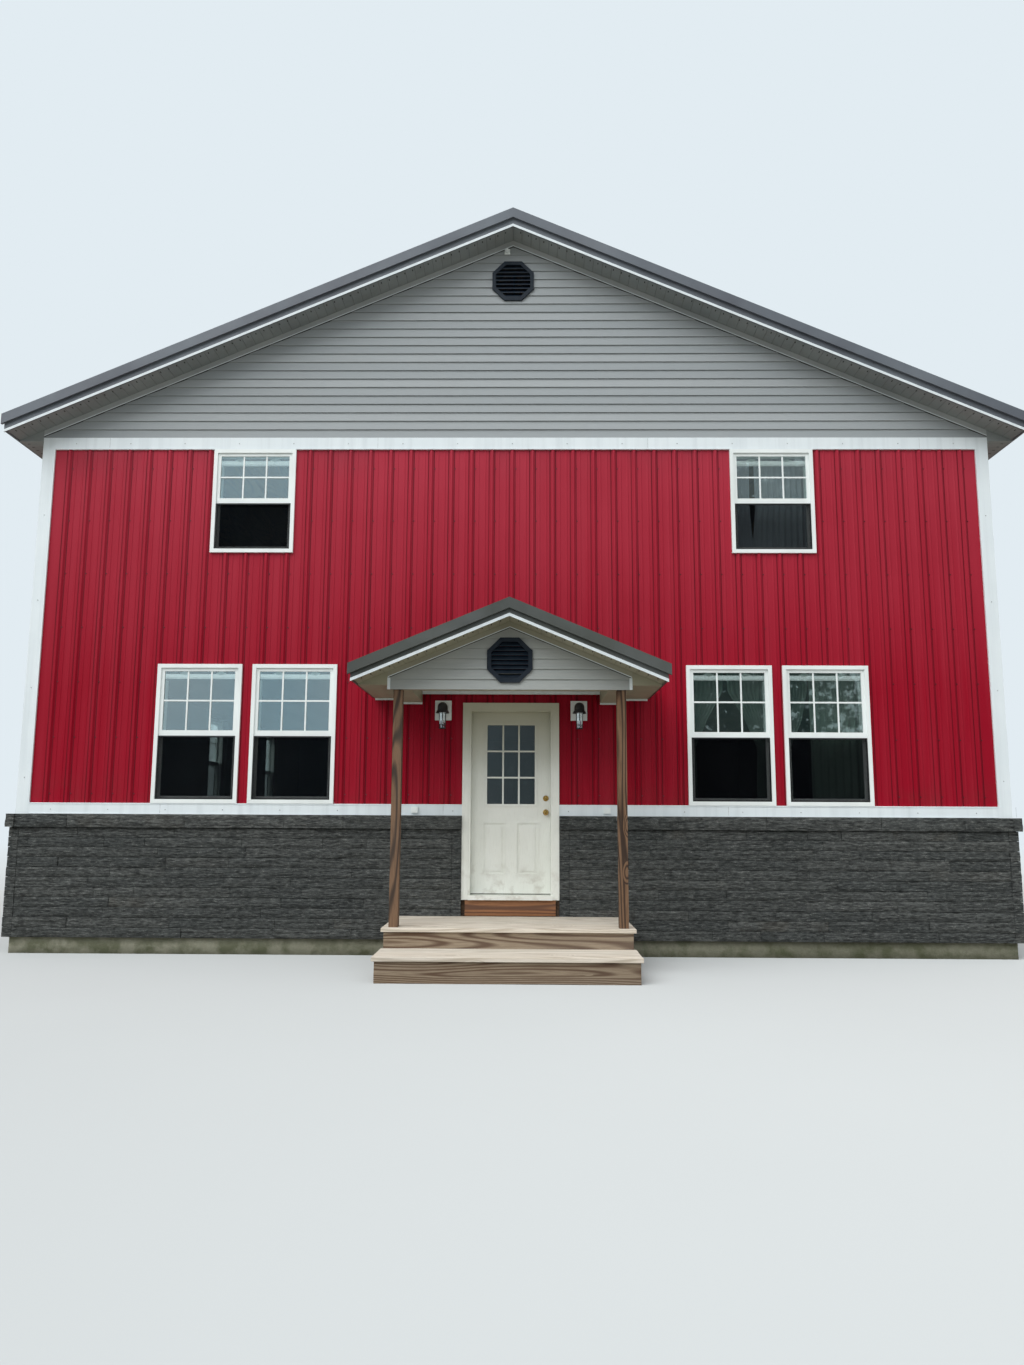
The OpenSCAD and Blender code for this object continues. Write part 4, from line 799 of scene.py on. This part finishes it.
def make_door_bars():
    """White bars that part the door's glass into nine lites, on both faces."""
    low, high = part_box("door_glass")
    bar_t, reach = 0.009, BAR_W / 2
    outer, inner = front_out(low.y), front_out(high.y)
    bars = Pieces()
    for out0, out1 in ((outer + HAIR, outer + bar_t), (inner - bar_t, inner - HAIR)):
        for i in (1, 2):
            u = low.x + i * (high.x - low.x) / 3
            z = low.z + i * (high.z - low.z) / 3
            bars.box(FRONT, (u - reach, low.z, out0), (u + reach, high.z, out1))
            bars.box(FRONT, (low.x, z - reach, out0 + HAIR), (high.x, z + reach, out1 - HAIR))
    bars.make("door_bars", "door_paint", "door_paint", body="door", bevel=0.0015)


def board_rows(pieces, out0, out1, top, count, trodden, draw):
    """Boards laid side by side from the wall outwards, each a little uneven in height, length and tone."""
    pitch = (out1 - out0) / count
    sag, cut = 0.0015, 0.004
    for i in range(count):
        rise = draw.uniform(-sag, 0.0)
        low = (-DECK_HALF + draw.uniform(0.0, cut), top - BOARD_T, out0 + i * pitch + BOARD_GAP / 2)
        high = (DECK_HALF - draw.uniform(0.0, cut), top + rise, out0 + (i + 1) * pitch - BOARD_GAP / 2)
        pieces.box(FRONT, low, high, trodden + draw.uniform(0.0, 0.4))


def make_deck():
    """Boards, risers and end boards of the deck and its step."""
    draw = random.Random("deck")
    for node, count, trodden in (("porch_deck", 9, 0.6), ("porch_step", 4, 0.0)):
        low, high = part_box(node)
        out0, out1, top = front_out(high.y), front_out(low.y), high.z
        boards, boxing = Pieces(), Pieces()
        board_rows(boards, out0, out1, top, count, trodden, draw)
        boards.make(node + "_boards", "deck_wood", "deck_wood", replaces=[node], bevel=0.004)
        inner, face = DECK_HALF - NOSING, out1 - NOSING
        under = top - BOARD_T - HAIR
        boxing.box(FRONT, (-inner, 0.0, face - BOARD_T), (inner, under, face), draw.random())
        for side in (-1, 1):
            edges = sorted((side * inner, side * (inner - BOARD_T)))
            end = face - BOARD_T - 0.001
            boxing.box(FRONT, (edges[0], 0.0, out0), (edges[1], under, end), draw.random())
        boxing.make(node + "_boxing", "riser_wood", "deck_wood", replaces=[node], bevel=0.003)


def make_soffit_vents():
    """Rows of dark vent slots along the outer edges of the soffits, dark as painted shade in the openings."""
    vents = Pieces()
    pitch, wide, drop, sunk = 0.096, 0.010, 0.0012, 0.001
    near, far, porch_near, porch_far = 0.055, 0.085, 0.085, 0.140
    first, end_gap, channel_t = 0.09, 0.05, 0.012
    eaves, (soffit_low, soffit_high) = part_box("fascia_boards")[1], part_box("soffits")
    rake = eaves.y - FASCIA_T
    rows = [(ROOF_SLOPE, ROOF_SOFFIT, eaves.x - FASCIA_T, -rake + near, -rake + far),
            (ROOF_SLOPE, ROOF_SOFFIT, eaves.x - FASCIA_T, rake - far, rake - near),
            (PORCH_SLOPE, PORCH_SOFFIT, PORCH_EAVE_X, soffit_low.y + porch_near, soffit_low.y + porch_far)]
    for slope, apex, half, y0, y1 in rows:
        for side in (-1, 1):
            plane = roof_plane(side, slope, apex, -1)
            for step in np.arange(first, half * math.hypot(1, slope) - end_gap, pitch):
                vents.box(plane, (y0, -step - wide, -sunk), (y1, -step, drop))
    under = ROOF_SOFFIT - ROOF_SLOPE * soffit_high.x - channel_t
    for side in (-1, 1):
        edge = Plane((0, 1, 0), (-side, 0, 0), (0, 0, -1), (-side * soffit_low.x, 0, under))
        for y in np.arange(-CORE.y + end_gap, CORE.y - end_gap, pitch):
            vents.box(edge, (y, near, -sunk), (y + wide, far, drop))
    vents.make("soffit_vents", "dark_gap", "soffit_gray")


def make_frieze_lips():
    """The thin bright edge along the foot of each frieze, and a dark strip under it that is painted shadow.
    """
    lips, shadow_strips = Pieces(), Pieces()
    lip_h, lip_t, shadow_h, shadow_in = 0.010, 0.003, 0.006, (0.012, 0.004)
    rows = [(wall, CORE.x + TRIM_OUT, ROOF_SLOPE, ROOF_SOFFIT - FRIEZE_H, TRIM_OUT) for wall in GABLED]
    porch_half = -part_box("porch_trims")[0].x - 0.004
    rows.append((FRONT, porch_half, PORCH_SLOPE, PORCH_SOFFIT - PORCH_FRIEZE_H, POST_FACE))
    for wall, half, slope, apex, out in rows:
        for side in (-1, 1):
            ends = (0.0, apex), (side * half, apex - slope * half)
            lips.bar(wall, *ends, lip_h, out, out + lip_t)
            shadow_strips.bar(wall, *[(u, z - shadow_h) for u, z in ends], shadow_h, out - shadow_in[0], out - shadow_in[1])
    lips.make("frieze_lips", "white_steel", "white_steel", bevel=0.0008)
    shadow_strips.make("frieze_gaps", "dark_gap", "soffit_gray")


def make_roof_screws():
    """Screws with washers beside the ribs of every roof sheet, in rows across the slope."""
    screws = Pieces()
    first, last, side_gap, beside_rib = 0.10, 0.08, 0.06, 0.012
    roofs = ((ROOF_SLOPE, ROOF_TOP, "roof_sheets_right"), (PORCH_SLOPE, PORCH_TOP, "porch_roof_sheets"))
    for slope, apex, sheets in roofs:
        low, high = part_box(sheets)
        middle, half = (low.y + high.y) / 2, (high.y - low.y) / 2 - side_gap
        ribs = int(half / RIB_PITCH)
        along = [middle + rib * RIB_PITCH + RIB_FOOT_HALF + beside_rib for rib in range(-ribs, ribs + 1)]
        length = high.x * math.hypot(1, slope)
        count = max(2, round(length / SCREW_PITCH))
        down = [first + row * (length - first - last) / count for row in range(count + 1)]
        for side in (-1, 1):
            spots = [(y, -d) for y in along for d in down]
            screws.screws(roof_plane(side, slope, apex), spots, SHEET_T, (0.009, 0.003), (0.0055, 0.008))
    screws.make("roof_screws", "roof_screw", "roof_steel")


# Curtains: where they hang, and their outline over the sill and from the window's middle
CURTAIN_LOW, CURTAIN_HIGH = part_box("curtains")
CURTAIN_OUT = front_out((CURTAIN_LOW.y + CURTAIN_HIGH.y) / 2)
CURTAIN_DEPTH = CURTAIN_HIGH.y - CURTAIN_LOW.y
CURTAIN_TOP_UP = CURTAIN_HIGH.z - SIDING_TOP
CLOTH_IN = 0.004  # how far the cloth keeps inside that outline
HEM_UP, HEM_W, TIE_W, TIE_SHARE, CURTAIN_GAP = 0.040, 0.150, 0.130, 0.42, 0.024
STRAIGHT_EDGE = 0.12
UPSTAIRS_LEFT, UPSTAIRS_RIGHT = (0.172, 0.176, 0.205, 0.195), (-0.170, -0.174, -0.139, -0.145)
CLOTH_W = 0.90
CURTAIN_ROWS = 48
WAVE_STEPS = 12
FOLDS, FEW_FOLDS = 9, 7
FOLD_SHIFT = 0.006  # how unevenly the folds are spread, as a share of the width


def fold_depth(cloth, width):
    """Depth from crest to crest of half a wave that takes up a length of cloth in a smaller width."""
    low, high = 0.0, cloth
    turn = np.linspace(0, math.pi, 33)
    for _ in range(24):
        depth = (low + high) / 2
        taken = np.hypot(1, depth * math.pi / (2 * width) * np.sin(turn)).mean() * width
        low, high = (depth, high) if taken < cloth else (low, depth)
    return depth


def tied_edge(height):
    """Inner edge of a tied panel: heights over the sill and distances from the window's middle."""
    side, top, tie = WINDOW_W / 2, height + CURTAIN_TOP_UP, height * TIE_SHARE
    reaches = (side - HEM_W, side - TIE_W, side - 2 * TIE_W, CURTAIN_GAP, CURTAIN_GAP / 2)
    return [HEM_UP, tie, tie + height / 5, top - height / 5, top], [reach + CLOTH_IN for reach in reaches]


def make_curtain(name, centre, sill, height, side, inner, folds):
    """One panel that hangs in waves from its rod, drawn in towards a side as its inner edge says."""
    outer = WINDOW_W / 2 - CLOTH_IN
    draw = random.Random(name)
    across = np.linspace(0, 1, folds * WAVE_STEPS + 1)
    swing = [draw.uniform(0.4, 1.0) for _ in range(3)]
    uneven = across + sum(s * FOLD_SHIFT * np.sin(math.pi * across * (k + 2)) for k, s in enumerate(swing))
    points = []
    for z in np.linspace(height + CURTAIN_TOP_UP - CLOTH_IN, HEM_UP + CLOTH_IN, CURTAIN_ROWS):
        width = outer - float(np.interp(z, *inner))
        depth = min(fold_depth(CLOTH_W / (2 * folds), width / (2 * folds)), CURTAIN_DEPTH - CLOTH_IN)
        out = CURTAIN_OUT + depth / 2 * np.cos(2 * math.pi * folds * across)
        points.append(np.column_stack([centre + side * (outer - width + width * uneven),
                                       np.full(len(across), sill + z), out]))
    columns = len(across)
    corners = [r * columns + i for r in range(CURTAIN_ROWS - 1) for i in range(columns - 1)]
    faces = [[first, first + 1, first + columns + 1, first + columns] for first in corners]
    cloth = Pieces()
    cloth.add(FRONT.place(np.concatenate(points)), faces)
    piece = cloth.make(name, "curtain_cloth", "curtain_cloth", replaces=["curtains"], smooth=True)


def make_curtains():
    """Two panels behind each window to the right of the door. One downstairs and both upstairs hang free."""
    for name, (centre, sill, height) in zip(("inner", "outer", "upper"), FRONT_WINDOWS[3:]):
        top = height + CURTAIN_TOP_UP
        left, right = tied_edge(height), tied_edge(height)
        if name == "outer":
            left = left[0], [max(reach, STRAIGHT_EDGE + 0.02) for reach in left[1]]
            right = [HEM_UP, top], [-STRAIGHT_EDGE, -STRAIGHT_EDGE]
        if name == "upper":
            heights = [HEM_UP, 0.15 * height, 0.5 * height, top]
            left, right = (heights, UPSTAIRS_LEFT), (heights, UPSTAIRS_RIGHT)
        make_curtain(f"curtain_{name}_left", centre, sill, height, -1, left, FOLDS)
        folds = FEW_FOLDS if name == "outer" else FOLDS
        make_curtain(f"curtain_{name}_right", centre, sill, height, 1, right, folds)


# Lanterns: radii of the glass, and how finely it and its rings are turned
LAMP_FOOT_R, LAMP_TOP_R = 0.033, 0.040
LAMP_RIBS, LAMP_SIDES, RING_SIDES = 6, 12, 24
RING_T = 0.006


def lantern_points(at, profile, turn):
    """Points round a lantern at (u, out): one ring for each (radius, z) of a profile."""
    return [(at[0] + r * math.cos(a), z, at[1] + r * math.sin(a)) for r, z in profile for a in turn]


def lantern_strip(pieces, at, start, end, width, reach):
    """A thin strip up a lantern's glass, from one (angle, radius, z) to another on the cone of its sides."""
    cells, faces = block_cells((1, 1, 1))
    points = []
    for s, t, deep in cells:
        angle, radius, z = end if t else start
        points += lantern_points(at, [(radius + reach * deep, z)], [angle + (s - 0.5) * width])
    pieces.add(FRONT.place(points), faces)


def lantern_ring(pieces, at, radius, z, height):
    turn = np.arange(RING_SIDES) * math.tau / RING_SIDES
    profile = [(radius - RING_T, z), (radius, z), (radius, z + height), (radius - RING_T, z + height)]
    pieces.add(FRONT.place(lantern_points(at, profile, turn)), ring_faces(4, RING_SIDES, closed=True))


def make_lanterns():
    """Glass of the wall lanterns with bright crosses of painted highlight on it, black ribs and bottom rings.
    """
    low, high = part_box("lamp_glass")
    foot, top = (LAMP_FOOT_R, low.z + 0.008), (LAMP_TOP_R, high.z)
    glint_foot, glint_top = (foot[0], foot[1] + 0.045), (top[0], top[1] - 0.035)
    rib_w, rib_out, glint_w, glint_out = 0.12, 0.004, 0.13, 0.0012
    turn = np.arange(LAMP_SIDES) * math.tau / LAMP_SIDES
    for side, name in ((-1, "left"), (1, "right")):
        at = side * LAMP_X, front_out((low.y + high.y) / 2)
        glass, cage, glint_strips = Pieces(), Pieces(), Pieces()
        faces = ring_faces(2, LAMP_SIDES) + [list(range(LAMP_SIDES))[::-1]]
        glass.add(FRONT.place(lantern_points(at, [foot, top], turn)), faces)
        for k in range(LAMP_RIBS):
            a, b = (k + 0.5) * math.tau / LAMP_RIBS, (k + 1.5) * math.tau / LAMP_RIBS
            lantern_strip(cage, at, (a, *foot), (a, *top), rib_w, rib_out)
            # Crossed strips of painted highlight on each facet.
            lantern_strip(glint_strips, at, (a, *glint_foot), (b, *glint_top), glint_w, glint_out)
            lantern_strip(glint_strips, at, (b, *glint_foot), (a, *glint_top), glint_w, glint_out)
        lantern_ring(cage, at, LAMP_FOOT_R + 0.004, low.z, 0.008)
        lantern_ring(cage, at, LAMP_FOOT_R + 0.0055, low.z + 0.04, 0.004)
        glass.make("lamp_glass_" + name, "lamp_glass", "lamp_glass", replaces=["lamp_glass"])
        glint_strips.make("lamp_cuts_" + name, "blind_vinyl", "lamp_glass", replaces=["lamp_glass"])
        cage.make("lamp_cage_" + name, "black_metal", "black_metal", replaces=["lamp_glass"])


def make_jamb_liners():
    """White tracks of the upper sashes, seen through the glass along its sides."""
    near, far, over, (out0, out1) = 0.3895, 0.3975, 0.165, (-0.108, -0.050)
    liners = Pieces()
    for wall, centre, sill, height in every_window():
        for side in (-1, 1):
            edges = sorted((centre + side * near, centre + side * far))
            liners.box(wall, (edges[0], sill + height / 2, out0), (edges[1], sill + height - over, out1))
    liners.make("jamb_liners", "white_vinyl", "white_vinyl")


def blind_clip(clips, u, rail):
    """A bright faceted bracket over a blind's head rail, and its stem."""
    out0, out1 = BLIND_OUT
    wing, waist, foot, rear = 0.062, rail - 0.030, rail - 0.050, out1 - 0.004
    spots = [(u - wing, waist), (u, rail - 0.004), (u + wing, waist), (u, foot)]
    front = [(x, z, out1 + 0.006) for x, z in spots]
    tip = [(u, rail - 0.028, out1 + 0.020)]
    back = [(x, z, rear) for x, z in spots]
    faces = [[0, 1, 4], [1, 2, 4], [2, 3, 4], [3, 0, 4], [5, 6, 7, 8]]
    faces[4:4] = [[i, 5 + i, 5 + (i + 1) % 4, (i + 1) % 4] for i in range(4)]
    clips.add(FRONT.place(front + tip + back), faces)
    clips.box(FRONT, (u - 0.006, foot, out0 + 0.006), (u + 0.006, rail + 0.004, rear))


def make_blinds():
    """Raised blinds: a stack of slats with its foot rail, and the brackets that it hangs from."""
    out0, out1 = BLIND_OUT
    half = WINDOW_W / 2 - 0.030
    under_rail, foot_drop, offset = 0.040, 0.016, 0.002
    slats, clips = Pieces(), Pieces()
    for centre, sill, height in FRONT_WINDOWS:
        rail = sill + height - BLIND_H
        for k in range(BLIND_SLATS):
            z, out = rail - under_rail - SLAT_PITCH * k, out1 + offset * (k % 2)
            slats.box(FRONT, (centre - half, z, out0), (centre + half, z + SLAT_T, out), k % 2)
        z = rail - under_rail - SLAT_PITCH * BLIND_SLATS - foot_drop
        slats.box(FRONT, (centre - half, z, out0 - offset), (centre + half, z + FOOT_RAIL_H, out1 + 0.003))
        for side in (-1, 1):
            blind_clip(clips, centre + side * CLIP_X, rail)
    # Slats and foot rail glow by themselves: painted light.
    slats.make("blind_slats", "blind_vinyl", "white_vinyl")
    clips.make("blind_clips", "white_vinyl", "white_vinyl")


def make_screens():
    """Insect screens: a black frame in front of every lower sash, with mesh in it."""
    frames, meshes = Pieces(), Pieces()
    out0, out1 = SCREEN_OUT
    half = WINDOW_W / 2 - FRAME_FACE - SCREEN_GAP
    rail, inner, middle = half - SCREEN_FACE, half - SCREEN_FACE / 2, (out0 + out1) / 2
    for wall, centre, sill, height in every_window():
        z0 = sill + FRAME_FACE + SCREEN_GAP
        z1 = z0 + sash_height(height) - MEETING_FACE - 2 * SCREEN_GAP
        for u in (centre - half, centre + rail):
            frames.box(wall, (u, z0, out0), (u + SCREEN_FACE, z1, out1))
        for z in (z0, z1 - SCREEN_FACE):
            frames.box(wall, (centre - rail, z, out0), (centre + rail, z + SCREEN_FACE, out1))
        meshes.box(wall, (centre - inner, z0 + SCREEN_FACE / 2, middle),
                   (centre + inner, z1 - SCREEN_FACE / 2, middle + 0.001))
    frames.make("screen_frames", "screen_frame", "screen_mesh", replaces=["window_screens"], bevel=0.001)
    meshes.make("screen_meshes", "screen_mesh", "screen_mesh", replaces=["window_screens"])


BACKDROP = (226, 236, 242)
FLOOR_SIZE = 300.0


def lit_world():
    """Soft light from all round. The camera sees a plain backdrop, and glass mirrors a mottled dark half."""
    world = bpy.data.worlds.new("studio")
    bpy.context.scene.world = world
    world.use_nodes = True
    w = Nodes(world.node_tree)
    towards = w.add("TexCoord").outputs["Generated"]
    across, _, up = w.add("SeparateXYZ", {0: towards}).outputs
    light = w.blend(w.span(up, 0.0, 0.9), (204, 210, 216), (255, 255, 255))
    soft = w.add("TexNoise", {"Vector": towards, "Scale": 3.0}).outputs["Fac"]
    bright = w.blend(w.span(soft, 0.4, 0.65), (196, 226, 240), (236, 246, 250))
    fine = {"Vector": towards, "Scale": 110.0, "Detail": 4.0, "Roughness": 0.7}
    mottled = w.math("ADD", w.add("TexNoise", fine).outputs["Fac"], w.span(across, 0.24, 0.33, 0.0, 0.10))
    dark = w.blend(w.span(mottled, 0.60, 0.68), (50, 66, 64), (176, 192, 192))
    dark_share = w.part(w.span(across, -0.15, 0.15), w.span(up, 0.28, 0.55, 1.0, 0.2))
    path = w.add("LightPath").outputs
    glossy = w.blend(path["Is Glossy Ray"], light, w.blend(dark_share, bright, dark))
    shown = w.blend(path["Is Camera Ray"], glossy, BACKDROP)
    background = w.add("Background", {"Color": shown, "Strength": 1.0})
    w.add("OutputWorld", {"Surface": background.outputs[0]})


def floor():
    """Pale floor that fades into the backdrop far from the object."""
    mesh = bpy.data.meshes.new("floor")
    half = FLOOR_SIZE / 2
    corners = [(-half, -half, 0), (half, -half, 0), (half, half, 0), (-half, half, 0)]
    mesh.from_pydata(corners, [], [(0, 1, 2, 3)])
    f = Finish("floor")
    far = f.span(f.add("VectorMath", {0: f.at}, operation="LENGTH").outputs["Value"], 9.0, 40.0)
    to_camera = f.add("LightPath").outputs["Is Camera Ray"]
    seen = f.blend(f.noise(0.2), (186, 190, 190), (192, 196, 196))
    solid = f.add("BsdfDiffuse", {"Color": f.blend(to_camera, (150, 148, 140), seen), "Roughness": 0.5})
    fade = f.add("Emission", {"Color": srgb(*BACKDROP), "Strength": 1.0})
    mesh.materials.append(f.show(f.mixed(f.part(far, to_camera), solid, fade)))
    placed("floor", mesh)


def lamp(name, azimuth, elevation, strength, spread):
    """A broad soft light from a direction, in degrees round the object and above the horizon."""
    data = bpy.data.lights.new(name, "SUN")
    data.energy, data.angle = strength, math.radians(spread)
    a, e = math.radians(azimuth), math.radians(elevation)
    towards = Vector((math.sin(a) * math.cos(e), -math.cos(a) * math.cos(e), math.sin(e)))
    placed(name, data).rotation_euler = towards.to_track_quat("Z", "Y").to_euler()


# Camera, fitted to the photograph
CAMERA_AT = (0.141, -16.314, 1.470)
CAMERA_PITCH, CAMERA_YAW, CAMERA_ROLL = (math.radians(a) for a in (7.972, -0.742, 0.270))
PHOTO_H = 1365
FOCAL_PX = 946
SENSOR_MM = 36.0


def make_camera():
    data = bpy.data.cameras.new("camera")
    data.sensor_fit, data.sensor_height = "VERTICAL", SENSOR_MM
    data.lens = FOCAL_PX / PHOTO_H * SENSOR_MM
    ahead = Vector((math.sin(CAMERA_YAW) * math.cos(CAMERA_PITCH),
                    math.cos(CAMERA_YAW) * math.cos(CAMERA_PITCH), math.sin(CAMERA_PITCH)))
    right = Vector((math.cos(CAMERA_YAW), -math.sin(CAMERA_YAW), 0))
    up = right.cross(ahead)
    turned = right * math.cos(CAMERA_ROLL) + up * math.sin(CAMERA_ROLL)
    top = up * math.cos(CAMERA_ROLL) - right * math.sin(CAMERA_ROLL)
    camera = placed("camera", data)
    camera.matrix_world = Matrix.Translation(CAMERA_AT) @ Matrix((turned, top, -ahead)).transposed().to_4x4()
    bpy.context.scene.camera = camera


make_camera()
dress_cad_nodes()
for stone_wall in WALLS:
    make_stone_facing(stone_wall)
make_joints()
make_ledge()
make_siding_screws()
make_trim_screws()
make_trim_seams()
make_window_grids()
make_door_bars()
make_deck()
make_soffit_vents()
make_frieze_lips()
make_roof_screws()
make_curtains()
make_blinds()
make_screens()
make_jamb_liners()
make_lanterns()
floor()
lit_world()
lamp("key", azimuth=-35, elevation=50, strength=2.2, spread=60)
bpy.context.scene.view_settings.view_transform = "Standard"
